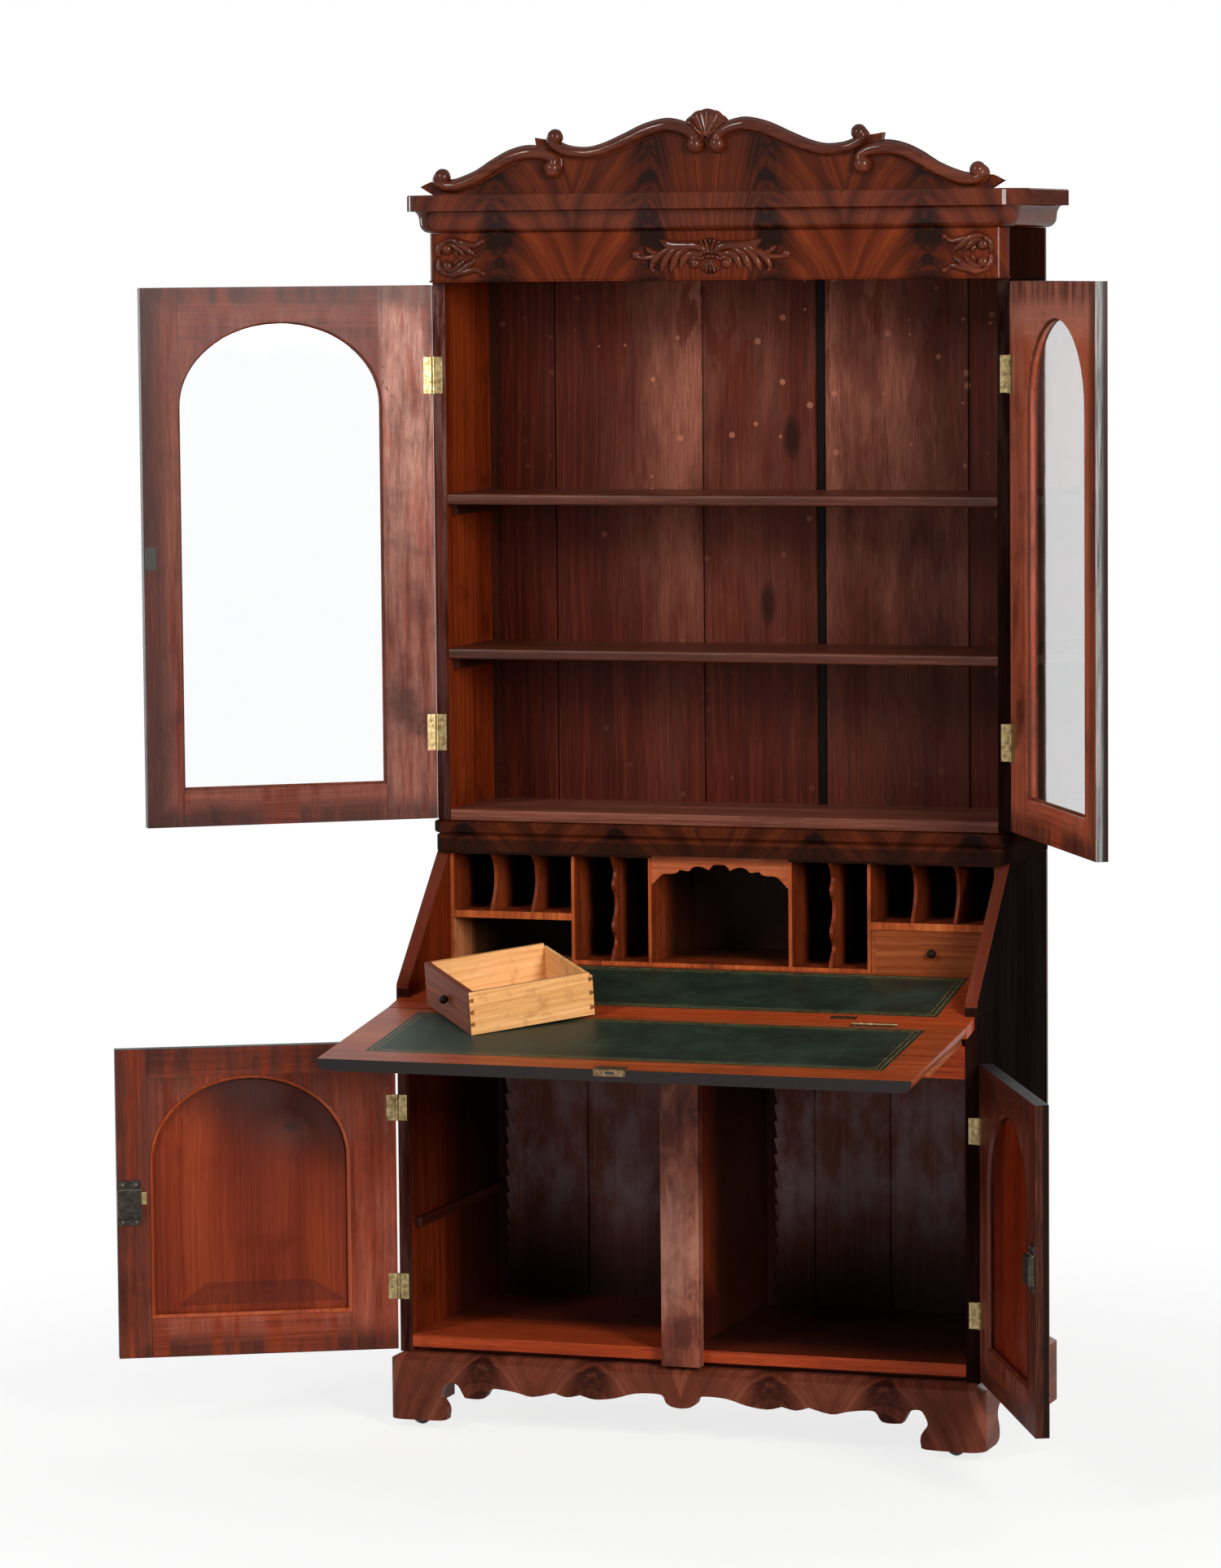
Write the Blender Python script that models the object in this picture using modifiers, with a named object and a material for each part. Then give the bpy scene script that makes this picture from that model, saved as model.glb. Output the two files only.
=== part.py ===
"""Secretary bookcase: a glazed bookcase on a desk with a sloping writing fall.

Metres, +Z up. The case is laid out with its back on the plane y = 0 and its middle on
x = 0, and the doors open towards -Y. At the end the whole piece of furniture is moved so
that the origin lies under the middle of its box, as it stands with its doors open.
"""
import bpy
import bmesh
from math import atan2, cos, pi, radians, sin, tan
from mathutils import Matrix, Vector

# Clearances
FIT = 0.0003
OVERRUN = 0.010
DOOR_GAP = 0.0015
SNAP = 0.000001

# Carcases
CASE_HALF = 0.5195
SIDE_THICKNESS = 0.022
BACK_THICKNESS = 0.010
UPPER_DEPTH = 0.248
LOWER_DEPTH = 0.465

# Heights, from the floor up
FOOT_LEVEL = 0.016
BASE_HEIGHT = 0.1145
DESK_HEIGHT = 0.8555
WAIST_LOWER_HEIGHT = 0.0285
WAIST_GROOVE_HEIGHT = 0.002
WAIST_UPPER_HEIGHT = 0.021
BOOKCASE_HEIGHT = 1.0265
CORNICE_MOULDING_HEIGHT = 0.0374
CORNICE_SLAB_HEIGHT = 0.0276

# Bracket base
BASE_SIDE_OVERHANG = 0.0144
BASE_FRONT_OVERHANG = 0.026
BASE_RADIUS = 0.025
BASE_CHAMFER_HEIGHT = 0.010
BASE_CHAMFER_DEPTH = 0.020
APRON_THICKNESS = 0.020
BASE_RING_HEIGHT = 0.020
BASE_RING_WIDTH = 0.070
FOOT_BLOCK = 0.070
FOOT_BLOCK_CLEARANCE = 0.031
SIDE_FOOT_LENGTH = 0.085

# Cupboard
DOOR_SEAT = 0.0041
DOOR_HEAD_DROP = 0.0677
CUPBOARD_FLOOR_LEVEL = 0.0305
CUPBOARD_FLOOR_THICKNESS = 0.021
DIVIDER_THICKNESS = 0.020
STILE_WIDTH = 0.068
RAIL_THICKNESS = 0.020
RAIL_DROP = 0.047

# Writing surfaces
HINGE_OVERHANG = 0.0523
BED_SLOPE = radians(11.6)
FALL_SLOPE = radians(7.6)
BED_THICKNESS = 0.0205
FALL_THICKNESS = 0.0205
FALL_LENGTH = 0.3364
FALL_SIDE_INSET = 0.0054
FALL_ROUNDING = 0.016
LEATHER_SIDE_BORDER = 0.0636
LEATHER_THICKNESS = 0.0015
FALL_REAR_BORDER = 0.026
FALL_FRONT_BORDER = 0.056
BED_FRONT_BORDER = 0.045
BED_REAR_BORDER = 0.013
BED_DROP = 0.120
SLANT_ANGLE = radians(45.1)
NOSE_RADIUS = 0.012

# Lopers, the slides that carry the open fall
LOPER_WIDTH = 0.018
LOPER_HEIGHT = 0.0255
LOPER_LENGTH = 0.300
LOPER_REACH = 0.187
LOPER_INSET = 0.008
GUIDE_HEIGHT = 0.012
GUIDE_REAR_GAP = 0.0544

# Pigeonholes
PIGEON_PROUD = 0.0045
PIGEON_TOP_GAP = 0.0008
PIGEON_BOARD = 0.006
PIGEON_FLOOR_RISE = 0.0513
PIGEON_CENTRE_FLOOR_RISE = 0.0065
PIGEON_FLOOR_THICKNESS = 0.0065
DRAWER_SPACE_HEIGHT = 0.076
PIGEON_SPACE_HEIGHT = 0.1002
PIGEON_SHELF_THICKNESS = 0.0125
PIGEON_TRIO_WIDTH = 0.2285
PIGEON_PAIR_WIDTH = 0.1415
DIVIDER_HOLLOW = 0.026
DUST_BOARD_THICKNESS = 0.016
VALANCE_DROP = 0.047
VALANCE_THICKNESS = 0.006

# Pigeonhole drawers
DRAWER_CLEARANCE = 0.0008
DRAWER_REAR_GAP = 0.0175
DRAWER_FRONT_THICKNESS = 0.010
DRAWER_SIDE_THICKNESS = 0.006
DRAWER_FLOOR_THICKNESS = 0.004
DRAWER_FLOOR_RISE = 0.004
DRAWER_REAR_DROP = 0.006
DRAWER_RECESS = 0.001
KNOB_RADIUS = 0.0078
KNOB_NECK_RADIUS = 0.0035
KNOB_LENGTH = 0.016
LOOSE_DRAWER_X = -0.288
LOOSE_DRAWER_FORWARD = 0.0087
LOOSE_DRAWER_TURN = radians(-49.8)

# Bookcase
BOOKCASE_FLOOR_THICKNESS = 0.018
SHELF_THICKNESS = 0.0195
SHELF_SETBACK = 0.0015
HIGH_SHELF_RISE = 0.573
LOW_SHELF_RISE = 0.3025
RACK_WIDTH = 0.018
RACK_DEPTH = 0.012
RACK_TOOTH_PITCH = 0.030
RACK_TOOTH_DEPTH = 0.005
RACK_TOOTH_SLOPE_SHARE = 0.999
CLEAT_WIDTH = 0.011
CLEAT_HEIGHT = 0.018

# Frieze, cornice and waist
FRIEZE_HEIGHT = 0.086
FRIEZE_THICKNESS = 0.027
FRIEZE_RADIUS = 0.023
FRIEZE_BEAD_HEIGHT = 0.004
FRIEZE_BEAD_OVERHANG = 0.003
CORNICE_OVERHANG = 0.040
CORNICE_STEP = 0.011
CORNICE_COVE_WIDTH = 0.0105
CORNICE_COVE_HEIGHT = 0.020
WAIST_FRONT = 0.027
WAIST_UPPER_OVERHANG = 0.004
WAIST_GROOVE_DEPTH = 0.003
SLAB_EASING = 0.002

# Crest
CREST_BOARD_THICKNESS = 0.018
CREST_MOULDING_BED = 0.006
SCROLL_END_SHARE = 1.07
CREST_HEIGHT = 0.1155
CREST_END_INSET = 0.039
CREST_RADIUS = 0.0158
CREST_FRONT_SETBACK = 0.001
SHELL_HALF = 0.0475
SHELL_HEIGHT = 0.1415
SHELL_FOOT_HEIGHT = 0.0937
SHELL_LOBES = 7
SHELL_LOBE_DEPTH = 0.003
SHELL_INSET = 0.001

# Upper doors
UPPER_DOOR_BOTTOM_GAP = 0.0025
UPPER_DOOR_TOP_GAP = 0.004
UPPER_DOOR_THICKNESS = 0.025
UPPER_HINGE_STILE = 0.0905
UPPER_FREE_STILE = 0.0643
UPPER_BOTTOM_RAIL = 0.064
UPPER_ARCH_TOP = 0.060
UPPER_ARCH_RISE = 0.146
GLASS_THICKNESS = 0.003
UPPER_LEFT_ANGLE = radians(145.2)
UPPER_RIGHT_ANGLE = radians(120.2)

# Lower doors
LOWER_DOOR_THICKNESS = 0.023
LOWER_HINGE_STILE = 0.0807
LOWER_FREE_STILE = 0.0565
LOWER_BOTTOM_RAIL = 0.0685
LOWER_ARCH_TOP = 0.0495
LOWER_ARCH_RISE = 0.147
PANEL_THICKNESS = 0.012
PANEL_RECESS = 0.003
FRONT_BEAD_HEIGHT = 0.004
FRONT_BEAD_WIDTH = 0.012
LOWER_LEFT_ANGLE = radians(152.4)
LOWER_RIGHT_ANGLE = radians(115.8)

# Hinges
KNUCKLE_RADIUS = 0.003
LEAF_THICKNESS = 0.0012
LEAF_WIDTH = 0.0165
UPPER_HINGE_OUT = 0.0007
LOWER_HINGE_OUT = 0.0018
UPPER_LEAF_HEIGHT = 0.0635
LOWER_LEAF_HEIGHT = 0.0445
UPPER_HINGE_TOP_INSET = 0.125
UPPER_HINGE_BOTTOM_INSET = 0.120
LOWER_HINGE_TOP_INSET = 0.092
LOWER_HINGE_BOTTOM_INSET = 0.088
FALL_HINGE_RADIUS = 0.0022
FALL_HINGE_INSET = 0.1581
FALL_LEAF_LENGTH = 0.080
FALL_LEAF_WIDTH = 0.018

# Rim locks on the lower doors
LOCK_WIDTH = 0.041
LOCK_HEIGHT = 0.079
LOCK_DEPTH = 0.012
LOCK_CENTRE_SHARE = 0.505

# Casters
WHEEL_RADIUS = 0.016
WHEEL_WIDTH = 0.013
AXLE_RADIUS = 0.0025
FORK_GAP = 0.0008
FORK_THICKNESS = 0.0022
FORK_ROOF = 0.003
FORK_CROWN_GAP = 0.0018
STEM_RADIUS = 0.006
CASTER_TRAIL = 0.012
CASTER_SIDE_INSET = 0.0519
CASTER_FRONT_INSET = 0.059
CASTER_REAR_INSET = 0.050
CASTER_ANGLES = {
    "front_left": radians(-42),
    "front_right": radians(-50),
    "rear_left": radians(25),
    "rear_right": radians(-15),
}

# Smoothness of round work
ARC_STEPS = 6
ARCH_STEPS = 20
TUBE_RESOLUTION = 2
TURNING_STEPS = 20
CURVE_STEPS = 3
CREST_STEPS = 2
WHEEL_STEPS = 28
BALL_STEPS = 12
KNUCKLE_STEPS = 12

# Levels and faces worked out from the sizes above
INNER_HALF = CASE_HALF - SIDE_THICKNESS
BASE_TOP = FOOT_LEVEL + BASE_HEIGHT
DESK_TOP_UNDERSIDE = BASE_TOP + DESK_HEIGHT
WAIST_HEIGHT = WAIST_LOWER_HEIGHT + WAIST_GROOVE_HEIGHT + WAIST_UPPER_HEIGHT
WAIST_TOP = DESK_TOP_UNDERSIDE + WAIST_HEIGHT
CORNICE_BOTTOM = WAIST_TOP + BOOKCASE_HEIGHT
CORNICE_TOP = CORNICE_BOTTOM + CORNICE_MOULDING_HEIGHT + CORNICE_SLAB_HEIGHT
FRIEZE_BOTTOM = CORNICE_BOTTOM - FRIEZE_HEIGHT
PIGEON_ROOF = DESK_TOP_UNDERSIDE - PIGEON_TOP_GAP - PIGEON_BOARD
PIGEON_SHELF_HEIGHT = PIGEON_ROOF - PIGEON_SPACE_HEIGHT
PIGEON_FLOOR_HEIGHT = PIGEON_SHELF_HEIGHT - PIGEON_SHELF_THICKNESS - DRAWER_SPACE_HEIGHT
HINGE_HEIGHT = PIGEON_FLOOR_HEIGHT - PIGEON_FLOOR_RISE
HINGE_Y = -LOWER_DEPTH - HINGE_OVERHANG
HIGH_SHELF_HEIGHT = WAIST_TOP + HIGH_SHELF_RISE
LOW_SHELF_HEIGHT = WAIST_TOP + LOW_SHELF_RISE
PIGEON_FRONT = -UPPER_DEPTH - PIGEON_PROUD
DRAWER_DEPTH = -PIGEON_FRONT - BACK_THICKNESS - DRAWER_RECESS - DRAWER_REAR_GAP
FALL_HALF = CASE_HALF - FALL_SIDE_INSET
LEATHER_HALF = FALL_HALF - LEATHER_SIDE_BORDER
FALL_HINGE_X = FALL_HALF - FALL_HINGE_INSET
CREST_REACH = CASE_HALF - CREST_END_INSET
FRIEZE_FRONT = -UPPER_DEPTH - FRIEZE_THICKNESS
BASE_FRONT = -LOWER_DEPTH - BASE_FRONT_OVERHANG
BASE_HALF = CASE_HALF + BASE_SIDE_OVERHANG
CASTER_X = BASE_HALF - CASTER_SIDE_INSET
CASTER_FRONT_Y = BASE_FRONT + CASTER_FRONT_INSET
LOWER_DOOR_BOTTOM = BASE_TOP + DOOR_SEAT
LOWER_DOOR_TOP = HINGE_HEIGHT - DOOR_HEAD_DROP
LOWER_DOOR_HEIGHT = LOWER_DOOR_TOP - LOWER_DOOR_BOTTOM
LOWER_DOOR_WIDTH = CASE_HALF - STILE_WIDTH / 2 - DOOR_GAP
UPPER_DOOR_WIDTH = CASE_HALF - DOOR_GAP
UPPER_DOOR_BOTTOM = WAIST_TOP + UPPER_DOOR_BOTTOM_GAP
UPPER_DOOR_HEIGHT = FRIEZE_BOTTOM - UPPER_DOOR_TOP_GAP - UPPER_DOOR_BOTTOM
PANEL_BACK_Y = -BACK_THICKNESS - FIT
UP = Vector((0, 0, 1))

# Colours of the materials: base colour, roughness, metallic
FINISHES = {
    "mahogany": ((0.150, 0.040, 0.018), 0.30, 0.0),
    "flame_mahogany": ((0.120, 0.034, 0.018), 0.22, 0.0),
    "interior_wood": ((0.220, 0.080, 0.036), 0.45, 0.0),
    "drawer_wood": ((0.560, 0.330, 0.140), 0.55, 0.0),
    "ebonised_wood": ((0.018, 0.013, 0.013), 0.35, 0.0),
    "green_leather": ((0.016, 0.040, 0.026), 0.42, 0.0),
    "glass": ((0.900, 0.930, 0.930), 0.05, 0.0),
    "brass": ((0.560, 0.400, 0.150), 0.35, 1.0),
    "iron": ((0.060, 0.052, 0.045), 0.45, 0.9),
    "caster_black": ((0.012, 0.012, 0.012), 0.40, 0.0),
}


def clear_scene():
    """Remove what the scene holds before the model is made."""
    for old in list(bpy.data.objects):
        bpy.data.objects.remove(old, do_unlink=True)


def make_collection(name):
    """Make a collection and link it to the scene."""
    collection = bpy.data.collections.new(name)
    bpy.context.scene.collection.children.link(collection)
    return collection


def make_material(name, finish):
    """Make one object's own Principled material from the table of finishes."""
    colour, roughness, metallic = FINISHES[finish]
    material = bpy.data.materials.new(name + "_" + finish)
    material.use_nodes = True
    shader = material.node_tree.nodes["Principled BSDF"]
    shader.inputs["Base Color"].default_value = (*colour, 1)
    shader.inputs["Roughness"].default_value = roughness
    shader.inputs["Metallic"].default_value = metallic
    if finish == "glass":
        shader.inputs["Transmission Weight"].default_value = 1
    material.diffuse_color = (*colour, 1)
    return material


clear_scene()
PARTS = make_collection("secretary_bookcase")
CUTTERS = make_collection("cutters")


# Small tools for shapes

def snap(bm):
    """Put every point on a fine grid, so that faces that share a plane share it exactly."""
    for vert in bm.verts:
        vert.co = [round(value / SNAP) * SNAP for value in vert.co]


def add_object(name, bm, material, smooth=False):
    """Turn a bmesh into an object of the part, in case coordinates."""
    snap(bm)
    mesh = bpy.data.meshes.new(name)
    bmesh.ops.recalc_face_normals(bm, faces=bm.faces)
    bm.to_mesh(mesh)
    bm.free()
    if smooth:
        mesh.shade_smooth()
        mesh.set_sharp_from_angle(angle=radians(35))
    obj = bpy.data.objects.new(name, mesh)
    obj.data.materials.append(make_material(name, material))
    PARTS.objects.link(obj)
    return obj


def box(name, low, high, material):
    """A board with its lowest and highest corners given."""
    low, high = Vector(low), Vector(high)
    size, centre = high - low, (high + low) / 2
    bm = bmesh.new()
    matrix = Matrix.Translation(centre) @ Matrix.Diagonal((*size, 1))
    bmesh.ops.create_cube(bm, size=1, matrix=matrix)
    return add_object(name, bm, material)


PLANE_MATRICES = {
    "X": Matrix(((0, 0, 1, 0), (1, 0, 0, 0), (0, 1, 0, 0), (0, 0, 0, 1))),
    "Y": Matrix(((1, 0, 0, 0), (0, 0, -1, 0), (0, 1, 0, 0), (0, 0, 0, 1))),
    "Z": Matrix.Identity(4),
}


def weld(obj):
    """Close the seams of a converted curve and face it outwards."""
    bm = bmesh.new()
    bm.from_mesh(obj.data)
    bmesh.ops.remove_doubles(bm, verts=bm.verts, dist=FIT / 10)
    snap(bm)
    bmesh.ops.recalc_face_normals(bm, faces=bm.faces)
    bm.to_mesh(obj.data)
    bm.free()


def curve_to_mesh(name, curve_object, material, smooth=False):
    """Replace a curve object by a closed mesh of the same shape and place."""
    graph = bpy.context.evaluated_depsgraph_get()
    graph.update()
    mesh = bpy.data.meshes.new_from_object(curve_object.evaluated_get(graph))
    mesh.transform(curve_object.matrix_world)
    bpy.data.objects.remove(curve_object, do_unlink=True)
    obj = bpy.data.objects.new(name, mesh)
    obj.data.materials.clear()
    obj.data.materials.append(make_material(name, material))
    weld(obj)
    if smooth:
        mesh.shade_smooth()
        mesh.set_sharp_from_angle(angle=radians(35))
    PARTS.objects.link(obj)
    return obj


def prism(name, outline, axis, low, high, material):
    """A flat outline given thickness along one axis, from low to high.

    Outline points are (y, z) for X, (x, z) for Y and (x, y) for Z.
    """
    curve = bpy.data.curves.new(name, "CURVE")
    curve.dimensions = "2D"
    curve.fill_mode = "BOTH"
    curve.extrude = (high - low) / 2
    spline = curve.splines.new("POLY")
    spline.points.add(len(outline) - 1)
    for point, (u, v) in zip(spline.points, outline):
        point.co = (u, v, 0, 1)
    spline.use_cyclic_u = True
    holder = bpy.data.objects.new(name + "_outline", curve)
    CUTTERS.objects.link(holder)
    middle = (high + low) / 2
    shift = {"X": (middle, 0, 0), "Y": (0, middle, 0), "Z": (0, 0, middle)}[axis]
    holder.matrix_world = Matrix.Translation(shift) @ PLANE_MATRICES[axis]
    bpy.context.view_layer.update()
    return curve_to_mesh(name, holder, material)


def tube(name, stations, material):
    """A round rod along stations, each a point and its own radius."""
    curve = bpy.data.curves.new(name, "CURVE")
    curve.dimensions = "3D"
    curve.bevel_depth = 1
    curve.bevel_resolution = TUBE_RESOLUTION
    curve.use_fill_caps = True
    spline = curve.splines.new("POLY")
    spline.points.add(len(stations) - 1)
    for point, (place, radius) in zip(spline.points, stations):
        point.co = (*place, 1)
        point.radius = radius
    holder = bpy.data.objects.new(name + "_path", curve)
    CUTTERS.objects.link(holder)
    bpy.context.view_layer.update()
    return curve_to_mesh(name, holder, material, smooth=True)


def rod(name, start, end, radius, material, steps=TURNING_STEPS):
    """A plain cylinder between two points."""
    start, end = Vector(start), Vector(end)
    run = end - start
    turn = UP.rotation_difference(run).to_matrix().to_4x4() @ Matrix.Rotation(pi / steps, 4, "Z")
    matrix = Matrix.Translation((start + end) / 2) @ turn
    bm = bmesh.new()
    bmesh.ops.create_cone(bm, cap_ends=True, segments=steps, radius1=radius, radius2=radius,
                          depth=run.length, matrix=matrix)
    return add_object(name, bm, material, smooth=True)


def turned(name, profile, material, steps=TURNING_STEPS):
    """A turned solid about +Z from (radius, height) points, top to bottom."""
    bm = bmesh.new()
    points = [bm.verts.new((radius, 0, height)) for radius, height in profile]
    for first, second in zip(points, points[1:]):
        bm.edges.new((first, second))
    obj = add_object(name, bm, material)
    screw = obj.modifiers.new("turning", "SCREW")
    screw.axis = "Z"
    screw.angle = 2 * pi
    screw.steps = steps
    screw.render_steps = steps
    screw.use_merge_vertices = True
    screw.merge_threshold = FIT / 10
    screw.use_normal_calculate = True
    return obj


def solidify_modifiers(obj):
    """Keep the evaluated mesh of an object as its own mesh."""
    graph = bpy.context.evaluated_depsgraph_get()
    graph.update()
    mesh = bpy.data.meshes.new_from_object(obj.evaluated_get(graph))
    mesh.transform(obj.matrix_world)
    obj.modifiers.clear()
    obj.matrix_world = Matrix.Identity(4)
    obj.data = mesh
    weld(obj)
    return obj


def mirrored(obj, name, material):
    """A copy of an object on the other side of the middle plane."""
    bm = bmesh.new()
    bm.from_mesh(obj.data)
    bmesh.ops.transform(bm, matrix=Matrix.Diagonal((-1, 1, 1, 1)), verts=bm.verts)
    return add_object(name, bm, material, smooth=True)


def boolean(obj, other, operation, tangled=False):
    """Cut or join another solid into this one and keep the other as a guide.

    Tangled is for a curled rod that runs into itself.
    """
    modifier = obj.modifiers.new(operation.lower(), "BOOLEAN")
    modifier.operation = operation
    modifier.object = other
    modifier.solver = "EXACT"
    modifier.use_self = tangled
    PARTS.objects.unlink(other)
    CUTTERS.objects.link(other)
    other.parent = obj
    other.hide_render = True
    other.display_type = "WIRE"


def cut(obj, *cutters):
    """Take other solids out of this one."""
    for cutter in cutters:
        boolean(obj, cutter, "DIFFERENCE")


def join(obj, *others):
    """Make other solids part of this one."""
    for other in others:
        boolean(obj, other, "UNION")


def smooth_line(points, sharp=(), steps=CURVE_STEPS):
    """Points along a Catmull-Rom line, with corners kept at the sharp ones."""
    dense = []
    last = len(points) - 1
    for index in range(last):
        start, end = Vector(points[index]), Vector(points[index + 1])
        before = Vector(points[index - 1]) if index > 0 and index not in sharp else start
        after = Vector(points[index + 2]) if index + 1 < last and index + 1 not in sharp else end
        for step in range(steps):
            t = step / steps
            dense.append(0.5 * (2 * start + (end - before) * t
                                + (2 * before - 5 * start + 4 * end - after) * t ** 2
                                + (3 * start - before - 3 * end + after) * t ** 3))
    dense.append(Vector(points[last]))
    return [tuple(point) for point in dense]


def arc(centre, radius_u, radius_v, start, end, steps):
    """Points of an elliptical arc between two angles, both ends included."""
    angles = [start + (end - start) * step / steps for step in range(steps + 1)]
    return [(centre[0] + radius_u * cos(a), centre[1] + radius_v * sin(a)) for a in angles]


def plan_outline(half, front, radius, rear=0.0):
    """A plan with square corners at the wall and round corners in front."""
    left = arc((-half + radius, front + radius), radius, radius, pi, 1.5 * pi, ARC_STEPS)
    right = arc((half - radius, front + radius), radius, radius, 1.5 * pi, 2 * pi, ARC_STEPS)
    return [(half, rear), (-half, rear)] + left + right


def stack(name, levels, material, rear=0.0):
    """A moulded board lofted through plans, each (half, front, radius, height)."""
    bm = bmesh.new()
    rings = []
    for half, front, radius, height in levels:
        rings.append([bm.verts.new((x, y, height)) for x, y in
                      plan_outline(half, front, radius, rear)])
    bm.faces.new(rings[0])
    bm.faces.new(list(reversed(rings[-1])))
    count = len(rings[0])
    for below, above in zip(rings, rings[1:]):
        for index in range(count):
            after = (index + 1) % count
            bm.faces.new((below[index], below[after], above[after], above[index]))
    return add_object(name, bm, material)


def make_pivot(name, place, parent):
    """An empty on a joint's axis."""
    pivot = bpy.data.objects.new(name, None)
    pivot.empty_display_size = KNOB_LENGTH
    CUTTERS.objects.link(pivot)
    pivot.parent = parent
    pivot.location = place
    return pivot


def carry(pivot, *pieces, place=None):
    """Hang pieces that were made in case coordinates on a pivot at its place."""
    place = pivot.location.copy() if place is None else Vector(place)
    for piece in pieces:
        piece.parent = pivot
        piece.location = -place


ROOT = make_pivot("secretary_origin", (0, 0, 0), None)


def fix(*pieces):
    """Hang pieces on the case itself."""
    carry(ROOT, *pieces)
    return pieces[0]


# Surfaces of the desk that several pieces follow

def bed_height(y):
    """Height of the fixed writing bed's upper face."""
    return HINGE_HEIGHT + (y - HINGE_Y) * tan(BED_SLOPE)


def bed_underside(y):
    """Height of the fixed writing bed's lower face."""
    return bed_height(y) - BED_THICKNESS / cos(BED_SLOPE)


def fall_height(y):
    """Height of the open fall's upper face."""
    return HINGE_HEIGHT + (y - HINGE_Y) * tan(FALL_SLOPE)


def fall_underside(y):
    """Height of the open fall's lower face, and of the lopers' upper face."""
    return fall_height(y) - FALL_THICKNESS / cos(FALL_SLOPE) - FIT


# Bracket base

# Half of the apron's lower line from the outer foot inwards. Each point is a share of the
# base's half width and a share of its height above the foot.
APRON_SHARES = (
    (0.962, 0.0), (0.815, 0.010), (0.797, 0.080), (0.796, 0.200), (0.806, 0.290),
    (0.819, 0.392), (0.806, 0.541), (0.790, 0.594), (0.760, 0.567), (0.740, 0.419),
    (0.728, 0.375), (0.671, 0.384), (0.648, 0.524), (0.615, 0.541), (0.557, 0.506),
    (0.502, 0.454), (0.428, 0.532), (0.385, 0.480), (0.339, 0.523), (0.290, 0.471),
    (0.223, 0.506), (0.155, 0.594), (0.087, 0.611), (0.060, 0.585), (0.050, 0.489),
    (0.030, 0.428), (0.0, 0.410),
)
APRON_CORNERS = (0, 16, 18)
SIDE_APRON_SHARES = ((0.0, 0.0), (0.12, 0.06), (0.13, 0.22), (0.06, 0.42), (0.12, 0.56), (0.30, 0.60))


def make_base():
    """The bracket base: aprons with scrolled feet, a top ring and corner blocks."""
    chamfer = BASE_CHAMFER_DEPTH
    base = stack("bracket_base", (
        (BASE_HALF, BASE_FRONT, BASE_RADIUS, FOOT_LEVEL),
        (BASE_HALF, BASE_FRONT, BASE_RADIUS, BASE_TOP - BASE_CHAMFER_HEIGHT),
        (BASE_HALF - chamfer, BASE_FRONT + chamfer, BASE_RADIUS - chamfer, BASE_TOP),
    ), "flame_mahogany")
    inner = BASE_HALF - APRON_THICKNESS
    ring_bottom = BASE_TOP - BASE_RING_HEIGHT
    hollow = box("base_hollow", (-inner, BASE_FRONT + APRON_THICKNESS, -OVERRUN),
                 (inner, OVERRUN, ring_bottom), "flame_mahogany")
    hole = box("base_hole", (BASE_RING_WIDTH - inner, BASE_FRONT + BASE_RING_WIDTH, -OVERRUN),
               (inner - BASE_RING_WIDTH, -BASE_RING_WIDTH, BASE_TOP + OVERRUN), "flame_mahogany")
    half_line = smooth_line([(BASE_HALF * u, FOOT_LEVEL + BASE_HEIGHT * v)
                             for u, v in APRON_SHARES], APRON_CORNERS)
    line = [(-x, z) for x, z in half_line] + [(x, z) for x, z in reversed(half_line)][1:]
    below = -OVERRUN
    front_outline = [(-half_line[0][0], below)] + line + [(half_line[0][0], below)]
    scallop = prism("apron_scallop", front_outline, "Y", BASE_FRONT - OVERRUN,
                    BASE_FRONT + APRON_THICKNESS + FIT, "flame_mahogany")
    front_foot_y = BASE_FRONT + SIDE_FOOT_LENGTH
    rear_foot_y = -SIDE_FOOT_LENGTH
    reach = rear_foot_y - front_foot_y
    rise = [(reach * u / 2, FOOT_LEVEL + BASE_HEIGHT * v) for u, v in SIDE_APRON_SHARES]
    rise = smooth_line(rise)
    side_outline = [(front_foot_y, below)] + [(front_foot_y + u, z) for u, z in rise]
    side_outline += [(rear_foot_y - u, z) for u, z in reversed(rise)] + [(rear_foot_y, below)]
    side_cut = prism("side_apron_cut", side_outline, "X", -BASE_HALF - OVERRUN,
                     BASE_HALF + OVERRUN, "flame_mahogany")
    cut(base, hollow, hole, scallop, side_cut)
    block_bottom = FOOT_LEVEL + FOOT_BLOCK_CLEARANCE
    for x_side in (-1, 1):
        for front in (True, False):
            outer = x_side * (inner + FIT)
            near = outer - x_side * FOOT_BLOCK
            y_low = BASE_FRONT + APRON_THICKNESS - FIT if front else -FOOT_BLOCK
            block = box("foot_block", (min(outer, near), y_low, block_bottom),
                        (max(outer, near), y_low + FOOT_BLOCK, ring_bottom + FIT), "flame_mahogany")
            join(base, block)
    return fix(base)


# Lower carcase

def slant_line_top():
    """Depth at which the slanted edge of a desk side meets the desk top."""
    rise = DESK_TOP_UNDERSIDE - FIT - slant_nose_height()
    return -LOWER_DEPTH + rise / tan(SLANT_ANGLE)


def slant_nose_height():
    """Height at which the slanted edge leaves the upright front edge."""
    return bed_height(-LOWER_DEPTH) + NOSE_RADIUS + FALL_THICKNESS / 2


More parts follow.
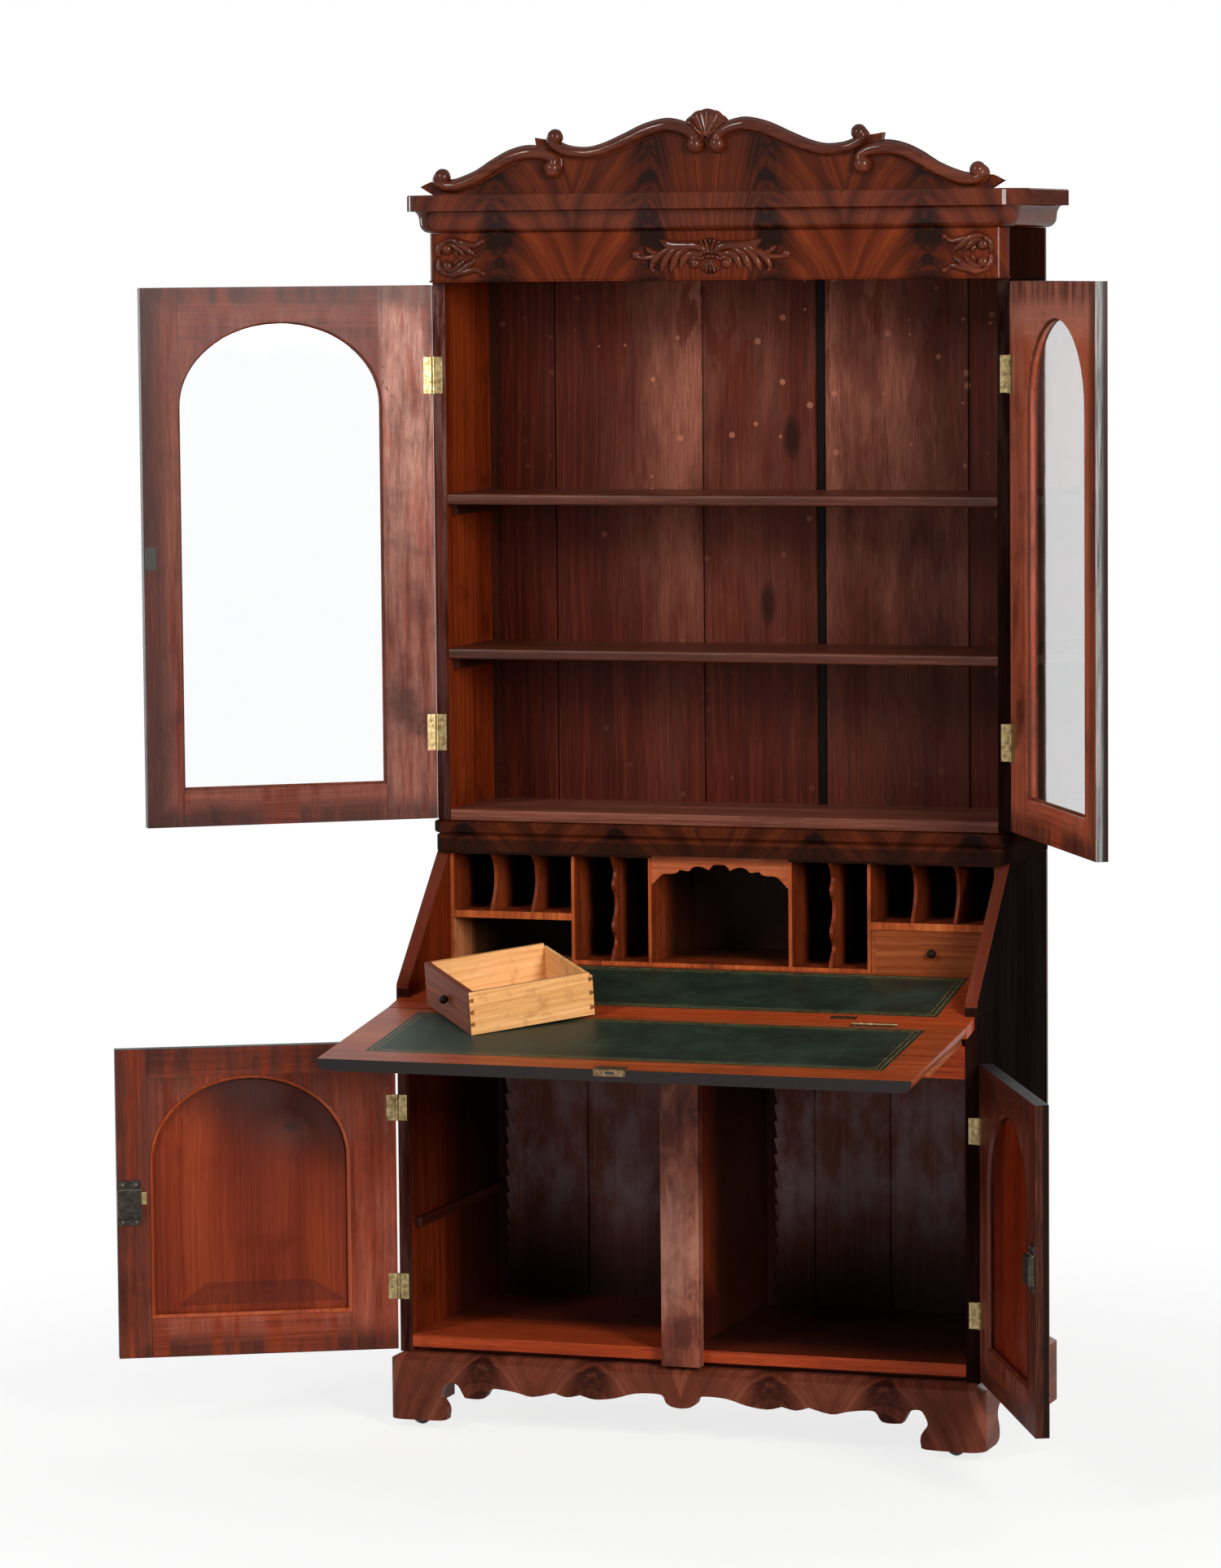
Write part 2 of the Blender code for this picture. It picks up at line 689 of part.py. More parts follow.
def make_desk_sides():
    """The two sides, each one board from the base to the desk top with a slanted edge."""
    nose = slant_nose_height()
    turn = SLANT_ANGLE
    run = NOSE_RADIUS * tan((pi / 2 - turn) / 2)
    centre = (-LOWER_DEPTH + NOSE_RADIUS, nose - run)
    nose_arc = arc(centre, NOSE_RADIUS, NOSE_RADIUS, pi, pi / 2 + turn, ARC_STEPS)
    outline = [(PANEL_BACK_Y, BASE_TOP + FIT), (-LOWER_DEPTH, BASE_TOP + FIT)] + nose_arc
    outline += [(slant_line_top(), DESK_TOP_UNDERSIDE - FIT), (PANEL_BACK_Y, DESK_TOP_UNDERSIDE - FIT)]
    sides = []
    for label, sign in (("left", -1), ("right", 1)):
        edges = sorted((sign * INNER_HALF, sign * CASE_HALF))
        side = prism(f"desk_side_{label}", outline, "X", *edges, "mahogany")
        join(side, loper_guide(sign))
        sides.append(fix(side))
    return sides


def loper_guide(sign):
    """The runner glued inside a desk side, under its loper."""
    front = -LOWER_DEPTH + RAIL_THICKNESS + FIT * 2
    rear = -GUIDE_REAR_GAP
    drop = LOPER_HEIGHT / cos(FALL_SLOPE) + FIT
    upper = [(y, fall_underside(y) - drop) for y in (front, rear)]
    outline = [(front, upper[0][1] - GUIDE_HEIGHT), upper[0], upper[1], (rear, upper[1][1] - GUIDE_HEIGHT)]
    edges = sorted((sign * (INNER_HALF + FIT), sign * (INNER_HALF - LOPER_WIDTH - LOPER_INSET)))
    return prism("loper_guide", outline, "X", *edges, "mahogany")


def make_lower_case():
    """Back, floor, divider, stile, rail and desk top of the lower case."""
    half = INNER_HALF - FIT
    fix(box("desk_back", (-CASE_HALF, -BACK_THICKNESS, BASE_TOP + FIT),
            (CASE_HALF, 0, DESK_TOP_UNDERSIDE - FIT), "interior_wood"))
    floor_top = BASE_TOP + CUPBOARD_FLOOR_LEVEL
    floor = box("cupboard_floor", (-half, -LOWER_DEPTH + FIT, floor_top - CUPBOARD_FLOOR_THICKNESS),
                (half, PANEL_BACK_Y, floor_top), "interior_wood")
    for sign in (-1, 1):
        outer = sign * half
        near = sign * (half - SIDE_THICKNESS)
        bearer = box("floor_bearer", (min(outer, near), -LOWER_DEPTH + RAIL_THICKNESS, BASE_TOP + FIT),
                     (max(outer, near), PANEL_BACK_Y, floor_top - FIT), "interior_wood")
        join(floor, bearer)
    fix(floor)
    rail_bottom = LOWER_DOOR_TOP - RAIL_DROP + RAIL_THICKNESS
    divider = box("cupboard_divider", (-DIVIDER_THICKNESS / 2, -LOWER_DEPTH + FIT, floor_top + FIT),
                  (DIVIDER_THICKNESS / 2, PANEL_BACK_Y, rail_bottom - FIT), "interior_wood")
    fix(divider)
    stile_front = -LOWER_DEPTH - LOWER_DOOR_THICKNESS - FIT
    fix(box("centre_stile", (-STILE_WIDTH / 2, stile_front, LOWER_DOOR_BOTTOM),
            (STILE_WIDTH / 2, -LOWER_DEPTH - FIT, LOWER_DOOR_TOP), "flame_mahogany"))
    make_rail(rail_bottom)
    fix(stack("desk_top", waist_levels(), "flame_mahogany"))


def make_rail(bottom):
    """The rail under the writing bed, notched at both ends for the lopers."""
    half = INNER_HALF - FIT
    rear = -LOWER_DEPTH + RAIL_THICKNESS
    top = bed_underside(-LOWER_DEPTH) - FIT
    rail = box("loper_rail", (-half, -LOWER_DEPTH + FIT, bottom), (half, rear, top), "mahogany")
    drop = LOPER_HEIGHT / cos(FALL_SLOPE) + FIT
    front_cut = -LOWER_DEPTH - OVERRUN
    rear_cut = rear + OVERRUN
    outline = [(y, fall_underside(y) - drop) for y in (front_cut, rear_cut)]
    outline += [(rear_cut, top + OVERRUN), (front_cut, top + OVERRUN)]
    inner = INNER_HALF - LOPER_INSET - LOPER_WIDTH - FIT
    for sign in (-1, 1):
        edges = sorted((sign * inner, sign * (half + OVERRUN)))
        cut(rail, prism("loper_notch", outline, "X", *edges, "mahogany"))
    fix(rail)


def waist_levels():
    """Plans of the desk top, whose moulded edge is the waist of the furniture."""
    front = -UPPER_DEPTH - WAIST_FRONT
    lower = (CASE_HALF, front, FRIEZE_RADIUS)
    groove = (CASE_HALF - WAIST_GROOVE_DEPTH, front + WAIST_GROOVE_DEPTH, FRIEZE_RADIUS)
    over = WAIST_UPPER_OVERHANG
    upper = (CASE_HALF + over, front - over, FRIEZE_RADIUS + over)
    eased = (CASE_HALF + over - SLAB_EASING, front - over + SLAB_EASING, FRIEZE_RADIUS + over)
    z_groove = DESK_TOP_UNDERSIDE + WAIST_LOWER_HEIGHT
    z_upper = z_groove + WAIST_GROOVE_HEIGHT
    return (
        (*lower, DESK_TOP_UNDERSIDE),
        (*lower, z_groove - SLAB_EASING),
        (*groove, z_groove),
        (*groove, z_upper),
        (*eased, z_upper + SLAB_EASING / 2),
        (*upper, z_upper + SLAB_EASING * 2),
        (*upper, WAIST_TOP - SLAB_EASING),
        (*eased, WAIST_TOP),
    )


# Writing bed, fall and lopers

def sloped_board(name, slope, thickness, y_low, y_high, x_low, x_high, material, lift=0.0):
    """A board whose upper face lies in, or is lifted off, a slope through the hinge line."""
    ends = [Vector((y, HINGE_HEIGHT + (y - HINGE_Y) * tan(slope))) for y in (y_low, y_high)]
    normal = Vector((-sin(slope), cos(slope)))
    top = [end + normal * lift for end in ends]
    bottom = [end - normal * (thickness - lift) for end in ends]
    outline = [tuple(point) for point in (bottom[0], bottom[1], top[1], top[0])]
    return prism(name, outline, "X", x_low, x_high, material)


def make_bed():
    """The fixed sloping board behind the fall, with its leather and hinge notches."""
    rear = PIGEON_FRONT - FIT * 10
    half = INNER_HALF - FIT
    bed = sloped_board("writing_bed", BED_SLOPE, BED_THICKNESS, HINGE_Y + FIT, rear + OVERRUN,
                       -FALL_HALF, FALL_HALF, "mahogany")
    cut(bed, box("bed_rear_trim", (-CASE_HALF, rear, HINGE_HEIGHT - BED_DROP),
                 (CASE_HALF, OVERRUN, HINGE_HEIGHT + BED_DROP), "mahogany"))
    cut(bed, box("bed_rear_level", (-CASE_HALF, HINGE_Y, PIGEON_FLOOR_HEIGHT),
                 (CASE_HALF, OVERRUN, HINGE_HEIGHT + BED_DROP), "mahogany"))
    for sign in (-1, 1):
        edges = sorted((sign * half, sign * (FALL_HALF + OVERRUN)))
        cut(bed, box("bed_shoulder", (edges[0], -LOWER_DEPTH - FIT, HINGE_HEIGHT - BED_DROP),
                     (edges[1], OVERRUN, HINGE_HEIGHT + BED_DROP), "mahogany"))
    leather_front = HINGE_Y + BED_FRONT_BORDER
    leather_rear = rear - BED_REAR_BORDER
    half_leather = LEATHER_HALF
    recess = sloped_board("bed_recess", BED_SLOPE, LEATHER_THICKNESS + OVERRUN, leather_front,
                          leather_rear, -half_leather, half_leather, "mahogany", OVERRUN)
    cut(bed, recess)
    leather = sloped_board("writing_bed_leather", BED_SLOPE, LEATHER_THICKNESS - FIT, leather_front + FIT,
                           leather_rear - FIT, -half_leather + FIT, half_leather - FIT, "green_leather")
    for sign in (-1, 1):
        cut(bed, hinge_notch(sign))
    fix(bed, leather)


def hinge_notch(sign):
    """The room that a fall hinge's knuckle takes out of both boards."""
    reach = FALL_HINGE_RADIUS + FIT * 2
    centre = sign * FALL_HINGE_X
    half = FALL_LEAF_LENGTH / 2 + FIT
    return rod("knuckle_room", (centre - half, HINGE_Y, HINGE_HEIGHT),
               (centre + half, HINGE_Y, HINGE_HEIGHT), reach, "mahogany")


def make_fall(pivot):
    """The hinged writing fall, as it lies open on the lopers."""
    front = HINGE_Y - FALL_LENGTH * cos(FALL_SLOPE)
    shift = FALL_THICKNESS * sin(FALL_SLOPE)
    board = sloped_board("fall_board", FALL_SLOPE, FALL_THICKNESS, front, HINGE_Y - shift - FIT,
                         -FALL_HALF, FALL_HALF, "mahogany")
    round_fall_edges(board)
    half = LEATHER_HALF
    leather_front = front + FALL_FRONT_BORDER
    leather_rear = HINGE_Y - FALL_REAR_BORDER
    recess = sloped_board("fall_recess", FALL_SLOPE, LEATHER_THICKNESS + OVERRUN, leather_front,
                          leather_rear, -half, half, "mahogany", OVERRUN)
    cut(board, recess)
    leather = sloped_board("fall_leather", FALL_SLOPE, LEATHER_THICKNESS - FIT, leather_front + FIT,
                           leather_rear - FIT, -half + FIT, half - FIT, "green_leather")
    carry(pivot, board, leather)
    for label, sign in (("left", -1), ("right", 1)):
        centre = sign * FALL_HINGE_X
        reach = FALL_LEAF_LENGTH / 2
        leaf_front = HINGE_Y - FALL_LEAF_WIDTH
        bed_for_leaf = sloped_board("leaf_recess", FALL_SLOPE, LEAF_THICKNESS + OVERRUN,
                                    leaf_front - FIT, HINGE_Y + OVERRUN, centre - reach - FIT,
                                    centre + reach + FIT, "mahogany", OVERRUN)
        cut(board, bed_for_leaf, hinge_notch(sign))
        leaf = sloped_board(f"fall_hinge_{label}", FALL_SLOPE, LEAF_THICKNESS - FIT, leaf_front,
                            HINGE_Y, centre - reach, centre + reach, "brass")
        join(leaf, rod("knuckle", (centre - reach, HINGE_Y, HINGE_HEIGHT),
                       (centre + reach, HINGE_Y, HINGE_HEIGHT), FALL_HINGE_RADIUS, "brass"))
        carry(pivot, leaf)


def round_fall_edges(board):
    """Round the fall's lower side edges, which are its outer arrises when closed."""
    length = FALL_LENGTH + OVERRUN * 2
    along = Vector((0, -cos(FALL_SLOPE), -sin(FALL_SLOPE)))
    radius = FALL_ROUNDING
    for sign in (-1, 1):
        normal = Vector((0, -sin(FALL_SLOPE), cos(FALL_SLOPE)))
        centre = (FALL_HALF - radius, -FALL_THICKNESS + radius)
        outline = arc(centre, radius, radius, 0, -pi / 2, ARC_STEPS)
        outline += [(FALL_HALF - radius, -FALL_THICKNESS - OVERRUN),
                    (FALL_HALF + OVERRUN, -FALL_THICKNESS - OVERRUN), (FALL_HALF + OVERRUN, -FALL_THICKNESS + radius)]
        outline = [(sign * u, v) for u, v in outline]
        cutter = prism("fall_rounding", outline, "Y", 0, length, "mahogany")
        frame = Matrix.Identity(4)
        for column, axis in enumerate((Vector((1, 0, 0)), -along, normal)):
            for row in range(3):
                frame[row][column] = axis[row]
        start = Vector((0, HINGE_Y, HINGE_HEIGHT)) + along * (FALL_LENGTH + OVERRUN)
        cutter.data.transform(Matrix.Translation(start) @ frame)
        cut(board, cutter)


def make_lopers():
    """The two slides, pulled out under the fall."""
    front = -LOWER_DEPTH - LOPER_REACH
    rear = front + LOPER_LENGTH
    drop = LOPER_HEIGHT / cos(FALL_SLOPE)
    outline = [(front, fall_underside(front) - drop), (rear, fall_underside(rear) - drop),
               (rear, fall_underside(rear)), (front, fall_underside(front))]
    lopers = []
    for label, sign in (("left", -1), ("right", 1)):
        outer = INNER_HALF - LOPER_INSET
        edges = sorted((sign * outer, sign * (outer - LOPER_WIDTH)))
        loper = prism(f"loper_{label}", outline, "X", *edges, "mahogany")
        pivot = make_pivot(f"loper_pivot_{label}", (sign * outer, front, fall_underside(front)), ROOT)
        carry(pivot, loper)
        lopers.append(loper)
    return lopers


# Pigeonholes and their drawers

HOLLOW_SHARES = ((0.0, 0.0), (0.35, 0.14), (0.85, 0.36), (1.0, 0.58), (0.70, 0.84), (0.0, 1.0))
WAVE_SHARES = ((0.0, 0.0), (0.45, 0.10), (0.95, 0.20), (0.30, 0.33), (0.95, 0.47),
               (1.0, 0.60), (0.35, 0.72), (0.80, 0.84), (0.0, 1.0))


def pigeon_divider(x, z_low, z_high, shares, hollow):
    """An upright divider whose front edge is cut back by shares of a hollow."""
    edge = smooth_line([(PIGEON_FRONT + hollow * u, z_low + (z_high - z_low) * v) for u, v in shares])
    outline = [(PANEL_BACK_Y - FIT, z_low)] + edge + [(PANEL_BACK_Y - FIT, z_high)]
    half = PIGEON_BOARD / 2
    return prism("pigeon_divider", outline, "X", x - half, x + half, "interior_wood")


def make_pigeonholes():
    """The fitted interior behind the fall: floor, shelves, partitions and dividers."""
    half = INNER_HALF - FIT
    rear = PANEL_BACK_Y - FIT
    roof = PIGEON_ROOF
    top = roof + PIGEON_BOARD
    floor = PIGEON_FLOOR_HEIGHT
    trio = INNER_HALF - PIGEON_TRIO_WIDTH
    centre = trio - PIGEON_PAIR_WIDTH
    case = box("pigeonhole_case", (-half, PIGEON_FRONT, floor - PIGEON_FLOOR_THICKNESS),
               (half, rear, floor), "interior_wood")
    overlap = PIGEON_BOARD / 3
    pieces = [box("pigeon_roof", (-half, PIGEON_FRONT, roof), (half, rear, top), "interior_wood"),
              box("pigeon_centre_floor", (-trio, PIGEON_FRONT, floor - overlap),
                  (trio, rear, floor + PIGEON_CENTRE_FLOOR_RISE), "interior_wood")]
    shelf_low = PIGEON_SHELF_HEIGHT - PIGEON_SHELF_THICKNESS
    for sign in (-1, 1):
        edges = sorted((sign * half, sign * (trio - overlap)))
        pieces.append(box("pigeon_shelf", (edges[0], PIGEON_FRONT, shelf_low),
                          (edges[1], rear, PIGEON_SHELF_HEIGHT), "interior_wood"))
        for x in (trio, centre):
            edges = sorted((sign * (x - PIGEON_BOARD / 2), sign * (x + PIGEON_BOARD / 2)))
            pieces.append(box("pigeon_partition", (edges[0], PIGEON_FRONT, floor - overlap),
                              (edges[1], rear, roof + overlap), "interior_wood"))
        edges = sorted((sign * half, sign * (half - PIGEON_BOARD)))
        pieces.append(box("pigeon_side", (edges[0], PIGEON_FRONT, floor - overlap),
                          (edges[1], rear, roof + overlap), "interior_wood"))
        step = (half - trio) / 3
        for index in (1, 2):
            pieces.append(pigeon_divider(sign * (trio + step * index), PIGEON_SHELF_HEIGHT - overlap,
                                         roof + overlap, HOLLOW_SHARES, DIVIDER_HOLLOW))
        wave_low = floor + PIGEON_CENTRE_FLOOR_RISE - overlap
        pieces.append(pigeon_divider(sign * (trio + centre) / 2, wave_low, roof + overlap,
                                     WAVE_SHARES, DIVIDER_HOLLOW))
    pieces.append(make_valance(centre, roof + overlap))
    join(case, *pieces)
    fix(case)
    fix(box("dust_board", (-half, PIGEON_FRONT, floor - PIGEON_FLOOR_THICKNESS - FIT - DUST_BOARD_THICKNESS),
            (half, PANEL_BACK_Y, floor - PIGEON_FLOOR_THICKNESS - FIT), "interior_wood"))


# The valance's lower edge from its left end to the middle, as shares of its half width and drop
VALANCE_SHARES = ((-1.0, 0.0), (-0.93, 0.08), (-0.80, 0.40), (-0.62, 0.58), (-0.50, 0.55),
                  (-0.30, 0.72), (0.0, 0.78))


def make_valance(half, top):
    """The shaped board across the head of the middle pigeonhole."""
    low = top - VALANCE_DROP
    left = smooth_line([(half * u, low + VALANCE_DROP * v) for u, v in VALANCE_SHARES], (3,))
    line = left + [(-x, z) for x, z in reversed(left)][1:]
    outline = [(-half, top)] + line + [(half, top)]
    return prism("pigeonhole_valance", outline, "Y", PIGEON_FRONT, PIGEON_FRONT + VALANCE_THICKNESS,
                 "interior_wood")


def drawer_slot(sign):
    """Lowest and highest corner of the slot that a drawer runs in."""
    half = INNER_HALF - FIT
    trio = half + FIT - PIGEON_TRIO_WIDTH
    edges = sorted((sign * (half - PIGEON_BOARD), sign * (trio + PIGEON_BOARD / 2)))
    shelf_low = PIGEON_SHELF_HEIGHT - PIGEON_SHELF_THICKNESS
    return Vector((edges[0], PIGEON_FRONT, PIGEON_FLOOR_HEIGHT)), Vector((edges[1], PANEL_BACK_Y, shelf_low))


def make_drawer(label, sign):
    """One small drawer in its slot: an open box with a thicker front and a turned knob."""
    low, high = drawer_slot(sign)
    gap = DRAWER_CLEARANCE
    front = PIGEON_FRONT + DRAWER_RECESS
    floor = low.z + FIT
    top = high.z - gap
    x_low, x_high = low.x + gap, high.x - gap
    drawer = box(f"drawer_{label}", (x_low, front, floor), (x_high, front + DRAWER_DEPTH, top), "drawer_wood")
    wall = DRAWER_SIDE_THICKNESS
    inner_floor = floor + DRAWER_FLOOR_RISE + DRAWER_FLOOR_THICKNESS
    cavity = box("drawer_cavity", (x_low + wall, front + DRAWER_FRONT_THICKNESS, inner_floor),
                 (x_high - wall, front + DRAWER_DEPTH - wall, top + OVERRUN), "drawer_wood")
    under = box("drawer_under", (x_low + wall, front + DRAWER_FRONT_THICKNESS, floor - OVERRUN),
                (x_high - wall, front + DRAWER_DEPTH - wall, floor + DRAWER_FLOOR_RISE), "drawer_wood")
    rear_step = box("drawer_rear_step", (x_low - OVERRUN, front + DRAWER_DEPTH - wall, top - DRAWER_REAR_DROP),
                    (x_high + OVERRUN, front + DRAWER_DEPTH + OVERRUN, top + OVERRUN), "drawer_wood")
    cut(drawer, cavity, under, rear_step)
    knob = turned("drawer_knob", knob_profile(), "mahogany")
    knob.rotation_euler = (pi / 2, 0, 0)
    knob.location = ((x_low + x_high) / 2, front + FIT * 2, (floor + top) / 2)
    bpy.context.view_layer.update()
    join(drawer, solidify_modifiers(knob))
    middle = Vector(((x_low + x_high) / 2, front + DRAWER_DEPTH / 2, floor))
    return drawer, middle, (x_high - x_low, DRAWER_DEPTH)


def knob_profile():
    """Radius and height of the turned knob, from its dome down to its neck."""
    radius, neck, length = KNOB_RADIUS, KNOB_NECK_RADIUS, KNOB_LENGTH
    dome = arc((0, length - radius), radius, radius, pi / 2, -pi / 4, ARC_STEPS)
    return [(max(r, 0.0), z) for r, z in dome] + [(neck, length - 2 * radius), (neck, 0), (0, 0)]


def make_drawers():
    """The right drawer in its slot, and the left one lying loose on the open desk."""
    right, middle, _ = make_drawer("right", 1)
    carry(make_pivot("drawer_pivot_right", middle, ROOT), right)
    left, middle, size = make_drawer("left", -1)
    heading = LOOSE_DRAWER_TURN
    reach_y = (abs(sin(heading)) * size[0] + cos(heading) * size[1]) / 2
    middle_y = HINGE_Y - LOOSE_DRAWER_FORWARD
    low_y, high_y = middle_y - reach_y, middle_y + reach_y
    low_z, high_z = fall_height(low_y), bed_height(high_y)
    pitch = atan2(high_z - low_z, high_y - low_y)
    place = Vector((LOOSE_DRAWER_X, middle_y, (low_z + high_z) / 2 + FIT * 2))
    pivot = make_pivot("drawer_pivot_left", place, ROOT)
    pivot.rotation_mode = "QUATERNION"
    lie = Matrix.Rotation(pitch, 4, "X") @ Matrix.Rotation(heading, 4, "Z")
    pivot.rotation_quaternion = lie.to_quaternion()
    carry(pivot, left, place=middle)


# Bookcase

def make_bookcase():
    """Sides, back, floor, shelves and their racks."""
    bottom = WAIST_TOP + FIT
    top = CORNICE_BOTTOM - FIT
    for label, sign in (("left", -1), ("right", 1)):
        edges = sorted((sign * INNER_HALF, sign * CASE_HALF))
        fix(box(f"bookcase_side_{label}", (edges[0], -UPPER_DEPTH, bottom),
                (edges[1], PANEL_BACK_Y, top), "mahogany"))
    fix(box("bookcase_back", (-CASE_HALF, -BACK_THICKNESS, bottom), (CASE_HALF, 0, top), "interior_wood"))
    half = INNER_HALF - FIT
    front = -UPPER_DEPTH + SHELF_SETBACK
    fix(box("bookcase_floor", (-half, front, bottom),
            (half, PANEL_BACK_Y, bottom + BOOKCASE_FLOOR_THICKNESS), "interior_wood"))
    shelf_rear = PANEL_BACK_Y - RACK_DEPTH - FIT
    for name, height in (("shelf_high", HIGH_SHELF_HEIGHT), ("shelf_low", LOW_SHELF_HEIGHT)):
        shelf = box(name, (-half, front, height - SHELF_THICKNESS), (half, shelf_rear, height), "interior_wood")
        fix(shelf)
    for label, sign in (("left", -1), ("right", 1)):
        make_rack(label, sign)


def make_rack(label, sign):
    """A toothed post in the rear corner with the two cleats that hold the shelves."""
    bottom = WAIST_TOP + BOOKCASE_FLOOR_THICKNESS + FIT * 2
    top = CORNICE_BOTTOM - FIT * 2
    count = int((top - bottom) / RACK_TOOTH_PITCH)
    pitch = (top - bottom) / count
    outer = INNER_HALF - FIT
    edge = []
    for index in range(count):
        low = bottom + pitch * index
        high = low + pitch * RACK_TOOTH_SLOPE_SHARE
        edge += [(outer - RACK_WIDTH, low), (outer - RACK_WIDTH + RACK_TOOTH_DEPTH, high)]
    edge.append((outer - RACK_WIDTH, top))
    outline = [(outer, bottom)] + edge + [(outer, top)]
    outline = [(sign * x, z) for x, z in outline]
    rack = prism(f"shelf_rack_{label}", outline, "Y", PANEL_BACK_Y - RACK_DEPTH, PANEL_BACK_Y, "interior_wood")
    for height in (HIGH_SHELF_HEIGHT, LOW_SHELF_HEIGHT):
        edges = sorted((sign * outer, sign * (outer - CLEAT_WIDTH)))
        cleat_top = height - SHELF_THICKNESS - FIT
        cleat = box("cleat", (edges[0], -UPPER_DEPTH + SIDE_THICKNESS, cleat_top - CLEAT_HEIGHT),
                    (edges[1], PANEL_BACK_Y - RACK_DEPTH + FIT * 4, cleat_top), "interior_wood")
        join(rack, cleat)
    fix(rack)


# Frieze, cornice and crest

def make_frieze():
    """The veneered board above the doors, with a bead along its lower edge."""
    rear = -UPPER_DEPTH - FIT
    bead = FRIEZE_BEAD_OVERHANG
    plain = (CASE_HALF, FRIEZE_FRONT, FRIEZE_RADIUS)
    beaded = (CASE_HALF + bead, FRIEZE_FRONT - bead, FRIEZE_RADIUS + bead)
    z_bead = FRIEZE_BOTTOM + FRIEZE_BEAD_HEIGHT
    levels = ((*plain, FRIEZE_BOTTOM), (*beaded, FRIEZE_BOTTOM + FRIEZE_BEAD_HEIGHT / 4),
              (*beaded, z_bead - FRIEZE_BEAD_HEIGHT / 4), (*plain, z_bead),
              (*plain, CORNICE_BOTTOM - FIT))
    fix(stack("frieze", levels, "flame_mahogany", rear))


def cornice_profile():
    """Overhang and height of the cornice's moulding from the frieze up to the slab."""
    ovolo_width = CORNICE_OVERHANG - CORNICE_STEP - CORNICE_COVE_WIDTH
    ovolo_height = CORNICE_MOULDING_HEIGHT - CORNICE_COVE_HEIGHT
    under = arc((0, CORNICE_BOTTOM + ovolo_height), ovolo_width, ovolo_height, -pi / 2, 0, ARC_STEPS)
    cove_top = CORNICE_BOTTOM + CORNICE_MOULDING_HEIGHT
    centre = (ovolo_width + CORNICE_COVE_WIDTH, cove_top - CORNICE_COVE_HEIGHT)
    cove = arc(centre, CORNICE_COVE_WIDTH, CORNICE_COVE_HEIGHT, pi, pi / 2, ARC_STEPS)
    return under + cove[1:]


def make_cornice():
    """The cornice: an ogee moulding under a slab, in one with the case's lid."""
    levels = []
    for overhang, height in cornice_profile():
        levels.append((CASE_HALF + overhang, FRIEZE_FRONT - overhang, FRIEZE_RADIUS + overhang, height))
    slab_bottom = CORNICE_BOTTOM + CORNICE_MOULDING_HEIGHT
    for inset, height in ((0, slab_bottom), (0, CORNICE_TOP - SLAB_EASING), (SLAB_EASING, CORNICE_TOP)):
        over = CORNICE_OVERHANG - inset
        levels.append((CASE_HALF + over, FRIEZE_FRONT - over, FRIEZE_RADIUS + over, height))
    fix(stack("cornice", levels, "flame_mahogany"))


# Centre lines of the crest's scrolled mouldings: shares of its reach, of its height above
# the cornice, and of its greatest radius. The first and last points carry the scroll ends.
INNER_SCROLL_SHARES = (
    (0.042, 0.699, 0.92), (0.045, 0.821, 0.76), (0.074, 0.913, 0.78), (0.116, 0.970, 0.81),
    (0.158, 0.978, 0.84), (0.226, 0.908, 0.84), (0.303, 0.769, 0.81), (0.380, 0.648, 0.74),
    (0.442, 0.594, 0.71), (0.503, 0.610, 0.69), (0.542, 0.655, 0.69), (0.571, 0.725, 0.69),
    (0.579, 0.795, 0.72), (0.566, 0.838, 0.83),
)
OUTER_SCROLL_SHARES = (
    (0.577, 0.373, 0.98), (0.571, 0.485, 0.82), (0.589, 0.555, 0.81), (0.619, 0.593, 0.84),
    (0.673, 0.608, 0.89), (0.735, 0.549, 0.86), (0.798, 0.419, 0.84), (0.861, 0.268, 0.79),
    (0.923, 0.165, 0.79), (0.962, 0.134, 0.76), (0.998, 0.154, 0.76), (1.013, 0.225, 0.79),
    (0.998, 0.270, 0.86),
)
# Upper outline of the crest board from the shell to its outer foot, as shares of the same
CREST_BOARD_SHARES = (
    (0.045, 0.811), (0.074, 0.903), (0.116, 0.960), (0.158, 0.968), (0.226, 0.898), (0.303, 0.759),
    (0.380, 0.638), (0.442, 0.584), (0.503, 0.610), (0.548, 0.690), (0.560, 0.790), (0.615, 0.808),
    (0.649, 0.832), (0.643, 0.705), (0.673, 0.598), (0.735, 0.539), (0.798, 0.409), (0.861, 0.258),
    (0.923, 0.155), (0.975, 0.130), (1.010, 0.190), (1.048, 0.198), (1.089, 0.121), (1.041, 0.0),
)
CREST_BOARD_CORNERS = (0, 10, 12, 13, 20, 22)


def crest_stations(shares, side, y):
    """Points and radii of a crest moulding on one side."""
    points = [(side * CREST_REACH * u, y, CORNICE_TOP + CREST_HEIGHT * v, CREST_RADIUS * w)
              for u, v, w in shares]
    return [((x, at, z), radius) for x, at, z, radius in smooth_line(points, steps=CREST_STEPS)]


def make_scroll(name, shares, side, y):
    """One scrolled moulding with rounded ends."""
    stations = crest_stations(shares, side, y)
    scroll = tube(name, stations, "flame_mahogany")
    for place, radius in (stations[0], stations[-1]):
        bm = bmesh.new()
        bmesh.ops.create_uvsphere(bm, u_segments=BALL_STEPS, v_segments=BALL_STEPS // 2,
                                  radius=radius * SCROLL_END_SHARE, matrix=Matrix.Translation(place))
        boolean(scroll, add_object("scroll_end", bm, "flame_mahogany", smooth=True), "UNION", True)
    return solidify_modifiers(scroll)


